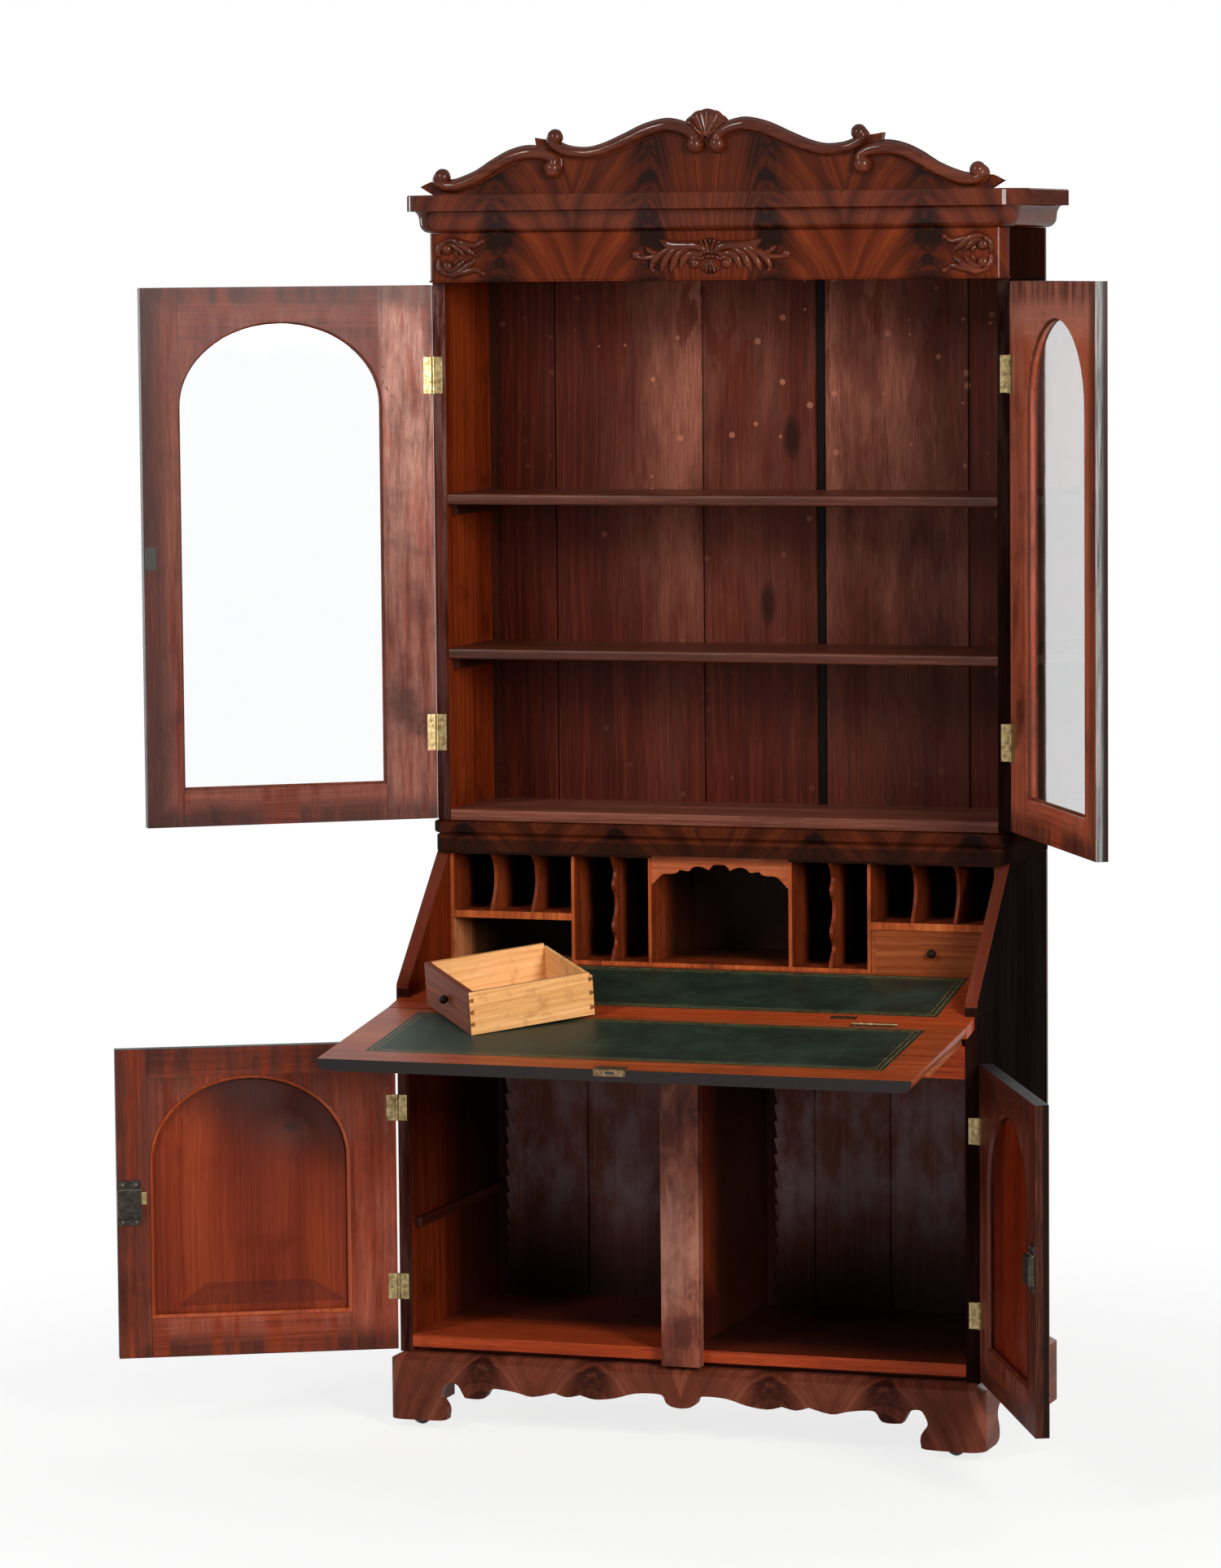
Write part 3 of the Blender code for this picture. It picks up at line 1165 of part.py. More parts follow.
def make_crest():
    """The pediment: a board with scrolled mouldings planted on its front, and a shell."""
    front = FRIEZE_FRONT - CORNICE_OVERHANG + CREST_FRONT_SETBACK
    tube_y = front + CREST_RADIUS
    board_front = tube_y + CREST_MOULDING_BED
    board_rear = board_front + CREST_BOARD_THICKNESS
    foot = CORNICE_TOP + SHELL_FOOT_HEIGHT - FIT
    line = smooth_line([(CREST_REACH * u, CORNICE_TOP + FIT + CREST_HEIGHT * v)
                        for u, v in CREST_BOARD_SHARES], CREST_BOARD_CORNERS, CREST_STEPS)
    right = [(0, foot)] + line
    outline = right + [(-x, z) for x, z in reversed(right[1:])]
    board = prism("crest_board", outline, "Y", board_front, board_rear, "flame_mahogany")
    join(board, make_shell(board_front + SHELL_INSET, board_rear - SHELL_INSET))
    fix(board)
    moulding = make_scroll("crest_moulding_right", INNER_SCROLL_SHARES, 1, tube_y)
    join(moulding, make_scroll("outer_scroll", OUTER_SCROLL_SHARES, 1, tube_y))
    cut(moulding, box("moulding_bed", (-OVERRUN, board_front - FIT, CORNICE_TOP),
                      (CASE_HALF + OVERRUN, 0, CORNICE_TOP + SHELL_HEIGHT), "flame_mahogany"))
    solidify_modifiers(moulding)
    fix(moulding, mirrored(moulding, "crest_moulding_left", "flame_mahogany"))


def make_shell(front, rear):
    """The fluted shell between the two inner scrolls, standing on the crest board."""
    foot = CORNICE_TOP + SHELL_FOOT_HEIGHT
    middle = (0, foot)
    rise = SHELL_HEIGHT - SHELL_FOOT_HEIGHT
    steps = SHELL_LOBES * 4
    outline = []
    for step in range(steps + 1):
        angle = pi * step / steps
        notch = SHELL_LOBE_DEPTH * (1 - abs(sin(SHELL_LOBES * angle)))
        outline.append((middle[0] + (SHELL_HALF - notch) * cos(angle), middle[1] + (rise - notch) * sin(angle)))
    return prism("crest_shell", outline, "Y", front, rear, "flame_mahogany")


# Doors

def arch_outline(left, right, bottom, spring, rise):
    """An opening with a straight foot and an elliptical head."""
    centre = ((left + right) / 2, spring)
    head = arc(centre, (right - left) / 2, rise, 0, pi, ARCH_STEPS)
    return [(left, bottom), (right, bottom)] + head


def mirror_sign(outline, sign):
    """Mirror an outline for the left or the right door."""
    return [(sign * x, z) for x, z in outline]


def make_door(label, sign, sizes):
    """One framed door in its closed place, with its panel, on its hinge pivot."""
    (name, case_depth, width, bottom, height, thickness, hinge_stile, free_stile, bottom_rail,
     arch_top, arch_rise, hinge_out, bead) = sizes
    hinge_x = CASE_HALF
    free_x = CASE_HALF - width
    back = -case_depth - FIT
    front = back - thickness
    edges = sorted((sign * hinge_x, sign * free_x))
    frame = box(f"{name}_door_frame_{label}", (edges[0], front, bottom), (edges[1], back, bottom + height),
                "mahogany")
    spring = bottom + height - arch_top - arch_rise
    left, right = free_x + free_stile, hinge_x - hinge_stile
    if bead:
        outer = arch_outline(left - FRONT_BEAD_WIDTH, right + FRONT_BEAD_WIDTH,
                             bottom + bottom_rail - FRONT_BEAD_WIDTH, spring, arch_rise + FRONT_BEAD_WIDTH)
        join(frame, prism("front_bead", mirror_sign(outer, sign), "Y", front - bead, front + FIT * 4,
                          "mahogany"))
    opening = mirror_sign(arch_outline(left, right, bottom + bottom_rail, spring, arch_rise), sign)
    cut(frame, prism("door_opening", opening, "Y", front - OVERRUN, back + OVERRUN, "mahogany"))
    axis_x = sign * (hinge_x + hinge_out)
    pivot = make_pivot(f"{name}_door_pivot_{label}", (axis_x, back, bottom), ROOT)
    gap = FIT
    inside = mirror_sign(arch_outline(left + gap, right - gap, bottom + bottom_rail + gap, spring,
                                      arch_rise - gap), sign)
    return frame, pivot, inside, (back, front)


def make_hinges(name, label, sign, frame, pivot, levels, leaf_height):
    """Butt hinges: a leaf let into the door's back and the knuckle on its axis.

    Door and case side are both hollowed where the knuckle lies between them.
    """
    case_side = PARTS.objects[{"upper": "bookcase_side_", "lower": "desk_side_"}[name] + label]
    axis_x, back, _ = pivot.location
    for position, middle in levels:
        low, high = middle - leaf_height / 2, middle + leaf_height / 2
        edges = sorted((axis_x, sign * (CASE_HALF - LEAF_WIDTH)))
        leaf_back = back - FIT
        leaf = box(f"{name}_hinge_{label}_{position}", (edges[0], leaf_back - LEAF_THICKNESS, low),
                   (edges[1], leaf_back, high), "brass")
        ends = (axis_x, back, low - FIT * 2), (axis_x, back, high + FIT * 2)
        join(leaf, rod("knuckle", *ends, KNUCKLE_RADIUS, "brass", KNUCKLE_STEPS))
        room = sorted((sign * (CASE_HALF + OVERRUN), sign * (CASE_HALF - LEAF_WIDTH - FIT)))
        seat = box("leaf_seat", (room[0], leaf_back - LEAF_THICKNESS - FIT, low - FIT),
                   (room[1], back + OVERRUN, high + FIT), "mahogany")
        ends = (axis_x, back, low - FIT * 3), (axis_x, back, high + FIT * 3)
        reach = KNUCKLE_RADIUS + FIT * 2
        cut(frame, seat, rod("knuckle_hollow", *ends, reach, "mahogany", KNUCKLE_STEPS))
        cut(case_side, rod("knuckle_hollow", *ends, reach, "mahogany", KNUCKLE_STEPS))
        carry(pivot, leaf)


def make_upper_doors():
    """The two glazed doors of the bookcase."""
    for label, sign, angle in (("left", -1, UPPER_LEFT_ANGLE), ("right", 1, UPPER_RIGHT_ANGLE)):
        sizes = ("upper", UPPER_DEPTH, UPPER_DOOR_WIDTH, UPPER_DOOR_BOTTOM, UPPER_DOOR_HEIGHT,
                 UPPER_DOOR_THICKNESS - FRONT_BEAD_HEIGHT, UPPER_HINGE_STILE, UPPER_FREE_STILE,
                 UPPER_BOTTOM_RAIL, UPPER_ARCH_TOP, UPPER_ARCH_RISE, UPPER_HINGE_OUT, FRONT_BEAD_HEIGHT)
        frame, pivot, inside, (back, front) = make_door(label, sign, sizes)
        middle = (back + front) / 2
        glass = prism(f"upper_door_glass_{label}", inside, "Y", middle - GLASS_THICKNESS / 2,
                      middle + GLASS_THICKNESS / 2, "glass")
        levels = (("high", UPPER_DOOR_BOTTOM + UPPER_DOOR_HEIGHT - UPPER_HINGE_TOP_INSET - UPPER_LEAF_HEIGHT / 2),
                  ("low", UPPER_DOOR_BOTTOM + UPPER_HINGE_BOTTOM_INSET + UPPER_LEAF_HEIGHT / 2))
        make_hinges("upper", label, sign, frame, pivot, levels, UPPER_LEAF_HEIGHT)
        carry(pivot, frame, glass)
        pivot.rotation_euler = (0, 0, sign * angle)


def make_lower_doors():
    """The two panelled cupboard doors, each with its rim lock."""
    for label, sign, angle in (("left", -1, LOWER_LEFT_ANGLE), ("right", 1, LOWER_RIGHT_ANGLE)):
        sizes = ("lower", LOWER_DEPTH, LOWER_DOOR_WIDTH, LOWER_DOOR_BOTTOM, LOWER_DOOR_HEIGHT,
                 LOWER_DOOR_THICKNESS, LOWER_HINGE_STILE, LOWER_FREE_STILE, LOWER_BOTTOM_RAIL,
                 LOWER_ARCH_TOP, LOWER_ARCH_RISE, LOWER_HINGE_OUT, 0)
        frame, pivot, inside, (back, front) = make_door(label, sign, sizes)
        panel_back = back - PANEL_RECESS
        panel = prism(f"lower_door_panel_{label}", inside, "Y", panel_back - PANEL_THICKNESS,
                      panel_back, "flame_mahogany")
        levels = (("high", LOWER_DOOR_TOP - LOWER_HINGE_TOP_INSET - LOWER_LEAF_HEIGHT / 2),
                  ("low", LOWER_DOOR_BOTTOM + LOWER_HINGE_BOTTOM_INSET + LOWER_LEAF_HEIGHT / 2))
        make_hinges("lower", label, sign, frame, pivot, levels, LOWER_LEAF_HEIGHT)
        free_x = CASE_HALF - LOWER_DOOR_WIDTH
        middle = LOWER_DOOR_BOTTOM + LOWER_DOOR_HEIGHT * LOCK_CENTRE_SHARE
        edges = sorted((sign * free_x, sign * (free_x + LOCK_WIDTH)))
        lock = box(f"rim_lock_{label}", (edges[0], back + FIT, middle - LOCK_HEIGHT / 2),
                   (edges[1], back + FIT + LOCK_DEPTH, middle + LOCK_HEIGHT / 2), "iron")
        carry(pivot, frame, panel, lock)
        pivot.rotation_euler = (0, 0, sign * angle)


# Casters

def make_casters():
    """Four swivelling casters under the blocks of the base."""
    for name, angle in CASTER_ANGLES.items():
        x = CASTER_X if name.endswith("right") else -CASTER_X
        y = CASTER_FRONT_Y if name.startswith("front") else -CASTER_REAR_INSET
        make_caster(name, x, y, angle)


def make_caster(name, x, y, angle):
    """One caster: a fork that swivels on its stem and a wheel on an axle."""
    swivel = make_pivot(f"caster_pivot_{name}", (x, y, WHEEL_RADIUS), ROOT)
    wheel_y = y - CASTER_TRAIL
    axle = (x, wheel_y, WHEEL_RADIUS)
    inner = WHEEL_WIDTH / 2 + FORK_GAP
    roof_low = 2 * WHEEL_RADIUS + FORK_CROWN_GAP
    roof_high = roof_low + FORK_ROOF
    cheek = WHEEL_RADIUS / 2
    fork = box(f"caster_fork_{name}", (x - inner - FORK_THICKNESS, wheel_y - cheek, roof_low),
               (x + inner + FORK_THICKNESS, y + STEM_RADIUS, roof_high), "caster_black")
    stem_top = FOOT_LEVEL + FOOT_BLOCK_CLEARANCE - FIT
    join(fork, rod("stem", (x, y, roof_low + FIT), (x, y, stem_top), STEM_RADIUS, "caster_black"))
    for side in (-1, 1):
        edges = sorted((x + side * inner, x + side * (inner + FORK_THICKNESS)))
        join(fork, box("cheek", (edges[0], wheel_y - cheek, WHEEL_RADIUS - cheek),
                       (edges[1], wheel_y + cheek, roof_high - FIT), "caster_black"))
    pin = inner + FORK_THICKNESS / 2
    join(fork, rod("axle", (x - pin, wheel_y, WHEEL_RADIUS), (x + pin, wheel_y, WHEEL_RADIUS),
                   AXLE_RADIUS, "caster_black", TURNING_STEPS // 2))
    half = WHEEL_WIDTH / 2
    easing = WHEEL_WIDTH / 6
    bore = AXLE_RADIUS + FIT
    profile = [(bore, half), (WHEEL_RADIUS - easing, half), (WHEEL_RADIUS, half - easing),
               (WHEEL_RADIUS, easing - half), (WHEEL_RADIUS - easing, -half), (bore, -half), (bore, half)]
    wheel = turned(f"caster_wheel_{name}", profile, "caster_black", WHEEL_STEPS)
    wheel.rotation_euler = (0, pi / 2, 0)
    wheel.location = axle
    bpy.context.view_layer.update()
    solidify_modifiers(wheel)
    carry(swivel, fork)
    roll = make_pivot(f"wheel_pivot_{name}", (0, -CASTER_TRAIL, 0), swivel)
    carry(roll, wheel, place=axle)
    swivel.rotation_euler = (0, 0, angle)


def stand_on_origin():
    """Move the furniture so that the origin lies under the middle of its box."""
    bpy.context.view_layer.update()
    graph = bpy.context.evaluated_depsgraph_get()
    graph.update()
    corners = []
    for obj in PARTS.objects:
        evaluated = obj.evaluated_get(graph)
        corners += [evaluated.matrix_world @ vertex.co for vertex in evaluated.data.vertices]
    low = [min(corner[axis] for corner in corners) for axis in range(3)]
    high = [max(corner[axis] for corner in corners) for axis in range(3)]
    ROOT.location = (-(low[0] + high[0]) / 2, -(low[1] + high[1]) / 2, -low[2])
    bpy.context.view_layer.update()


make_base()
make_desk_sides()
make_lower_case()
make_bed()
FALL_PIVOT = make_pivot("fall_pivot", (0, HINGE_Y, HINGE_HEIGHT), ROOT)
make_fall(FALL_PIVOT)
make_lopers()
make_pigeonholes()
make_drawers()
make_bookcase()
make_frieze()
make_cornice()
make_crest()
make_upper_doors()
make_lower_doors()
make_casters()
stand_on_origin()
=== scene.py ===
from math import asin, atan2, cos, pi, radians, sin, tan

import bmesh
import bpy
from mathutils import Matrix, Vector


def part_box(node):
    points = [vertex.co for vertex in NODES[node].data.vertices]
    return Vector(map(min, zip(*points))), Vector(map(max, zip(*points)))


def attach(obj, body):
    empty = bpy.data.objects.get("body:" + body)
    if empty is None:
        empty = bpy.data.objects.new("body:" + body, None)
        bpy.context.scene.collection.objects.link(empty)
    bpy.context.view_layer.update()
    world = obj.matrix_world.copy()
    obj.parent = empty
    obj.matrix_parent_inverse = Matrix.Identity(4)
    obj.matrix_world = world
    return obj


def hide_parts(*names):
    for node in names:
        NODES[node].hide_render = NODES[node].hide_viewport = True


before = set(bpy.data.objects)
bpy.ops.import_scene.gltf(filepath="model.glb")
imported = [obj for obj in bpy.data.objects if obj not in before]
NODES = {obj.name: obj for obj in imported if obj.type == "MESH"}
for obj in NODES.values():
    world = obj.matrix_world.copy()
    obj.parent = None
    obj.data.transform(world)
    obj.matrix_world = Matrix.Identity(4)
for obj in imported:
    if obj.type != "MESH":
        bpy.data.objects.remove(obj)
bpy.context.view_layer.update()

# The case's own middle and back in the row frame
CASE_X, CASE_Y = 0.0816, 0.45401


def srgb(red, green, blue):
    """A screen colour of 0 to 255 as linear values."""
    out = []
    for value in (red, green, blue):
        value /= 255
        out.append(value / 12.92 if value <= 0.04045 else ((value + 0.055) / 1.055) ** 2.4)
    return (*out, 1)


def linear(colour):
    """A value's socket or linear colour as it is, or three screen values as a linear colour."""
    return srgb(*colour) if isinstance(colour, tuple) and len(colour) == 3 else colour


def darker(colour, share):
    """A screen colour's share in linear light."""
    return (*(value * share for value in srgb(*colour)[:3]), 1)


def case_point(x, y, z):
    """A point given from the case's middle and back, in the row frame."""
    return Vector((x + CASE_X, y + CASE_Y, z))


# The case's half width, the depths of its storeys, and the fall's hinge line and slopes
CASE_HALF, UPPER_DEPTH, LOWER_DEPTH = 0.5195, 0.248, 0.465
HINGE_DEPTH, HINGE_HEIGHT = 0.5173, 0.7392
HINGE_POINT = case_point(0, -HINGE_DEPTH, HINGE_HEIGHT)
FALL_SLOPE, BED_SLOPE, SIDE_SLANT = radians(7.6), radians(11.6), radians(45.1)
FRIEZE_BOTTOM, LOWER_DOOR_WIDTH = 1.978, 0.48555
# How deep a face's own colour reaches into its board
SKIN = 0.0005


# Camera, light and floor

def from_columns(columns):
    """A matrix from its three axes and its place."""
    matrix = Matrix.Identity(4)
    for column, axis in enumerate(columns):
        for row in range(3):
            matrix[row][column] = axis[row]
    return matrix


def linked(name, data):
    """An object of its own in the scene."""
    obj = bpy.data.objects.new(name, data)
    bpy.context.scene.collection.objects.link(obj)
    return obj


def make_camera():
    """The photograph's viewpoint and lens."""
    yaw, pitch, roll = 0.330609, 0.0902167, -0.00900558
    right = Vector((cos(yaw), sin(yaw), 0))
    ahead = Vector((-sin(yaw) * cos(pitch), cos(yaw) * cos(pitch), -sin(pitch)))
    up = right.cross(ahead)
    columns = (cos(roll) * right + sin(roll) * up, -sin(roll) * right + cos(roll) * up, -ahead,
               Vector((3.1398, -9.2859, 2.0147)))
    data = bpy.data.cameras.new("camera")
    data.sensor_fit = "VERTICAL"
    data.sensor_height = 36
    data.sensor_width = 36
    data.lens = 132.98
    data.clip_end = 100
    camera = linked("camera", data)
    camera.matrix_world = from_columns(columns)
    bpy.context.scene.camera = camera


def make_light(name, place, target, size, power, colour=(1, 1, 1)):
    """A soft rectangular lamp aimed at a point."""
    data = bpy.data.lights.new(name, "AREA")
    data.shape = "RECTANGLE"
    data.size, data.size_y = size
    data.energy = power
    data.color = colour
    lamp = linked(name, data)
    lamp.location = place
    lamp.rotation_euler = (Vector(target) - Vector(place)).to_track_quat("-Z", "Y").to_euler()


class Value:
    """A node's output that takes part in sums."""

    def __init__(self, graph, socket):
        self.graph, self.socket = graph, socket

    def math(self, operation, *others):
        """One sum of this value and others."""
        return self.graph.math(operation, self, *others)

    def __add__(self, other):
        return self.math("ADD", other)

    def __sub__(self, other):
        return self.math("SUBTRACT", other)

    def __rsub__(self, other):
        return self.graph.math("SUBTRACT", other, self)

    def __mul__(self, other):
        return self.math("MULTIPLY", other)

    def __rmul__(self, other):
        return self.graph.math("MULTIPLY", other, self)

    def __truediv__(self, other):
        return self.math("DIVIDE", other)

    def __lt__(self, other):
        return self.math("LESS_THAN", other)

    def __gt__(self, other):
        return self.math("GREATER_THAN", other)

    def __abs__(self):
        return self.math("ABSOLUTE")

    def span(self, low, high, out_low=0.0, out_high=1.0):
        """The value's span stretched to another, with soft ends."""
        node = self.graph.add("MapRange", {"Value": self, "From Min": low, "From Max": high,
                                           "To Min": out_low, "To Max": out_high},
                              interpolation_type="SMOOTHSTEP")
        return Value(self.graph, node.outputs[0])

    def within(self, low, high):
        """1 where the value lies between two others."""
        return (self > low) * (self < high)


def joined(*masks):
    """The greatest of some values: 1 where any mask is."""
    result = masks[0]
    for mask in masks[1:]:
        result = result.math("MAXIMUM", mask)
    return result


def least(*values):
    """The least of some values."""
    result = values[0]
    for value in values[1:]:
        result = result.math("MINIMUM", value)
    return result


class Graph:
    """A material's node tree, with short calls for the nodes in use here."""

    def __init__(self, name, material=None):
        self.material = material or bpy.data.materials.new(name)
        self.material.use_nodes = True
        self.tree = self.material.node_tree
        self.shader = self.tree.nodes.get("Principled BSDF")

    def put(self, socket, value):
        """Link or set one input."""
        value = getattr(value, "socket", value)
        if isinstance(value, bpy.types.NodeSocket):
            self.tree.links.new(value, socket)
        else:
            socket.default_value = value

    def add(self, kind, inputs=(), **settings):
        """A node with its settings and inputs."""
        node = self.tree.nodes.new("ShaderNode" + kind)
        for key, value in settings.items():
            setattr(node, key, value)
        for key, value in dict(inputs).items():
            self.put(node.inputs[key], value)
        return node

    def math(self, operation, *values):
        """One sum."""
        node = self.add("Math", operation=operation)
        for socket, value in zip(node.inputs, values):
            self.put(socket, value)
        return Value(self, node.outputs[0])

    def mix(self, share, first, second):
        """Two colours mixed."""
        node = self.add("Mix", {0: share, 6: linear(first), 7: linear(second)}, data_type="RGBA")
        return Value(self, node.outputs[2])

    def ramp(self, value, stops):
        """A colour ramp."""
        node = self.add("ValToRGB", {"Fac": value})
        elements = node.color_ramp.elements
        while len(elements) < len(stops):
            elements.new(0.5)
        for element, (place, colour) in zip(elements, stops):
            element.position = place
            element.color = linear(colour)
        return Value(self, node.outputs[0])

    def noise(self, place, scale=1.0, detail=3.0, roughness=0.5, distortion=0.0):
        """Noise from 0 to 1 about a half, at a place of three values."""
        node = self.add("TexNoise", {"Vector": self.vector(*place), "Scale": scale, "Detail": detail,
                                     "Roughness": roughness, "Distortion": distortion})
        return Value(self, node.outputs[0])

    def vector(self, x, y, z):
        """Three values as one vector."""
        return self.add("CombineXYZ", {"X": x, "Y": y, "Z": z}).outputs[0]

    def axes(self, place=(0, 0, 0), turn=(0, 0, 0)):
        """The object's own coordinates in a frame of its own, as x, y and z."""
        source = self.add("TexCoord").outputs["Object"]
        mapped = self.add("Mapping", {"Vector": source, "Location": place, "Rotation": turn},
                          vector_type="TEXTURE").outputs[0]
        return [Value(self, part) for part in self.add("SeparateXYZ", {"Vector": mapped}).outputs]

    def bump(self, height, strength, distance):
        """A bump of some metres' depth."""
        return self.add("Bump", {"Height": height, "Strength": strength, "Distance": distance}).outputs[0]

    def seen(self):
        """1 for the rays that show the white surround: the camera's, and those in metal and glass."""
        rays = self.add("LightPath").outputs
        return joined(*(Value(self, rays[f"Is {kind} Ray"]) for kind in ("Camera", "Glossy", "Transmission")))

    def finish(self, colour, roughness, normal=None, **sockets):
        """Join the results to the shader."""
        self.put(self.shader.inputs["Base Color"], colour)
        self.put(self.shader.inputs["Roughness"], roughness)
        if normal is not None:
            self.put(self.shader.inputs["Normal"], normal)
        for key, value in sockets.items():
            self.put(self.shader.inputs[key.replace("_", " ")], value)
        return self.material


def grain_axes(graph, along, place, turn):
    """Coordinates with the first along the grain."""
    x, y, z = graph.axes(place, turn)
    return {"X": (x, y, z), "Y": (y, z, x), "Z": (z, x, y)}[along]


def wood_tone(graph, along, across, third, seed=0.0, figure=1.0, streak=1.0):
    """The tone of straight-grained wood, about a half."""
    shifted = along + seed
    bend = graph.noise((shifted * 1.6, across * 4.0, third), 1.0, 2)
    side = (bend - 0.5) * 0.035 + across
    layers = ((0.8, 11.0, 2, 0.5, 0.8 * figure), (3.0, 150.0, 3, 0.6, 0.62 * streak),
              (16.0, 620.0, 2, 0.6, 0.42 * streak))
    tone = 0.5
    for run, wide, detail, rough, amount in layers:
        layer = graph.noise((shifted * run, side * wide, third * wide), 1.0, detail, rough)
        tone = (layer - 0.5) * amount + tone
    return tone, layer


def worn(graph, colour, share, tint, x, y, z, scale=7.0, low=0.52, high=0.72):
    """Patches of dirt or wear over a colour."""
    patches = graph.noise((x, y, z), scale, 5, 0.62)
    return graph.mix(patches.span(low, high) * share, colour, tint)


def grain_colour(graph, tone, tones):
    """Wood colours by the grain's tone."""
    return graph.ramp(tone, ((0.24, tones[0]), (0.5, tones[1]), (0.76, tones[2])))


def wood(name, tones, along="Z", place=(0, 0, 0), turn=(0, 0, 0), seed=0.0, figure=0.6, streak=1.0,
         gloss=0.42, coat=0.0, dirt=0.35, shine=0.12, coat_rough=0.14, grain_depth=0.35, marks=None):
    """Plain wood with its grain along one axis of its own frame."""
    graph = Graph(name)
    first, second, third = grain_axes(graph, along, place, turn)
    tone, fine = wood_tone(graph, first, second, third, seed, figure, streak)
    colour = grain_colour(graph, tone, tones)
    colour = worn(graph, colour, dirt, darker(tones[0], 0.35), first, second, third)
    if marks:
        colour = marks(graph, colour)
    roughness = fine * 0.2 + (gloss - 0.08)
    return graph.finish(colour, roughness, graph.bump(fine, grain_depth, 0.0006), Coat_Weight=coat,
                        Coat_Roughness=coat_rough, Specular_IOR_Level=shine)


# Dark, middle and light tones of each wood, as screen colours
MAHOGANY = ((56, 17, 7), (98, 36, 15), (132, 58, 26))
RED_MAHOGANY = ((88, 28, 10), (144, 54, 23), (178, 80, 38))
DOOR_BROWN = ((48, 15, 8), (88, 31, 17), (126, 56, 35))
# A paler copy of the door wood for the upper right door: painted light.
LIT_DOOR = ((106, 40, 22), (172, 79, 48), (204, 116, 82))
RED_DOOR = ((72, 22, 9), (118, 43, 19), (156, 68, 34))
# A darker copy of the door wood for the lower right door: painted shade.
SHADED_DOOR = ((46, 13, 5), (90, 30, 12), (130, 52, 24))
BOARDS = ((34, 8, 4), (60, 18, 9), (92, 38, 24))
# A much lighter copy of the back boards for inside the cupboard: painted light where little light reaches.
LIT_CUPBOARD_BACK = ((98, 52, 42), (120, 70, 58), (150, 96, 82))
# Knots of the bookcase's back by x and height, and the x of its boards' joints
KNOTS = (0.061, 1.703), (0.0157, 1.411)
BOARD_EDGES = -0.379, -0.1032, 0.1057, 0.1213, 0.3827
HONEY = ((196, 134, 74), (232, 174, 112), (246, 202, 146))
EBONISED = ((8, 5, 5), (17, 12, 11), (32, 24, 22))
EDGE_BROWN = ((26, 9, 7), (52, 21, 16), (84, 42, 34))
FLAME = ((26, 9, 5), (72, 26, 10), (116, 49, 20))


def flame_tone(graph, spread, y, z, plumes, sweep=9.0, wide=30.0, contrast=1.0, steeper=1.0):
    """The tone of crotch veneer, book-matched: feathers that arch over dark plumes.
    steeper raises the grain inside the first plume towards upright."""
    near = least(*(abs(spread - plume) for plume in plumes))
    wobble = graph.noise((spread, y * 0.3, z), 11.0, 3)
    inside = spread.span(plumes[0], plumes[0] - 0.03, sweep, sweep * steeper)
    fall = near * near * inside
    height = z + fall + near * 0.25
    height = (wobble - 0.5) * 0.045 + height
    tone = 0.5
    for across, along, detail, amount in (
            (wide, 5.0, 3, 0.75),
            (wide * 5.0, 14.0, 3, 0.2),
            (wide * 18.0, 40.0, 2, 0.16)):
        layer = graph.noise((height * across, near * along, y * 3.0), 1.0, detail, 0.6)
        tone = (layer - 0.5) * (amount * contrast) + tone
    blot = graph.noise((height * 34.0, near * 26.0, 0.0), 1.0, 4, 0.6)
    plume_dark = near.span(0.06, 0.004) * blot.span(0.36, 0.62, 0.3, 1.0)
    return tone - plume_dark * 0.32, layer


def flame(name, plumes, level, tones=FLAME, sweep=9.0, gloss=0.28, coat=0.15, shine=0.02, contrast=0.8,
          steeper=1.0, dull_beyond=None, dull_above=None, end_dark=0.0, shade_below=None):
    """Crotch veneer under old polish. The polish ends beyond dull_beyond along it and over dull_above,
    end_dark is how black its ends are, and it darkens under shade_below."""
    graph = Graph(name)
    x, y, z = graph.axes((CASE_X, CASE_Y, level))
    spread = abs(x)
    tone, fine = flame_tone(graph, spread, y, z, plumes, sweep, contrast=contrast, steeper=steeper)
    colour = grain_colour(graph, tone, tones)
    colour = worn(graph, colour, 0.35, (20, 8, 5), spread, y, z, 5.0)
    if shade_below:
        colour = graph.mix(z.span(shade_below, shade_below - 0.003, 0.0, 0.6), colour, (18, 8, 5))
    if dull_beyond:
        coat = x.span(dull_beyond, dull_beyond + 0.02, coat, 0.0)
        colour = graph.mix(spread.span(dull_beyond, dull_beyond + 0.012, 0.0, end_dark), colour, (14, 8, 6))
    if dull_above:
        coat = coat * (z < dull_above)
    return graph.finish(colour, gloss, graph.bump(fine, 0.06, 0.0003), Coat_Weight=coat, Coat_Roughness=0.05,
                        Specular_IOR_Level=shine)


def metal(name, tones, gloss, speck=0.25):
    """Aged metal, with dark tarnish in patches."""
    graph = Graph(name)
    x, y, z = graph.axes()
    patches = graph.noise((x, y, z), 120.0, 5, 0.65)
    scratches = graph.noise((x, y, z * 0.15), 900.0, 2)
    value = (scratches - 0.5) * speck + patches
    colour = graph.ramp(value, ((0.30, tones[0]), (0.52, tones[1]), (0.75, tones[2])))
    roughness = patches * -0.25 + (gloss + 0.12)
    return graph.finish(colour, roughness, graph.bump(patches, 0.25, 0.0003), Metallic=1.0)


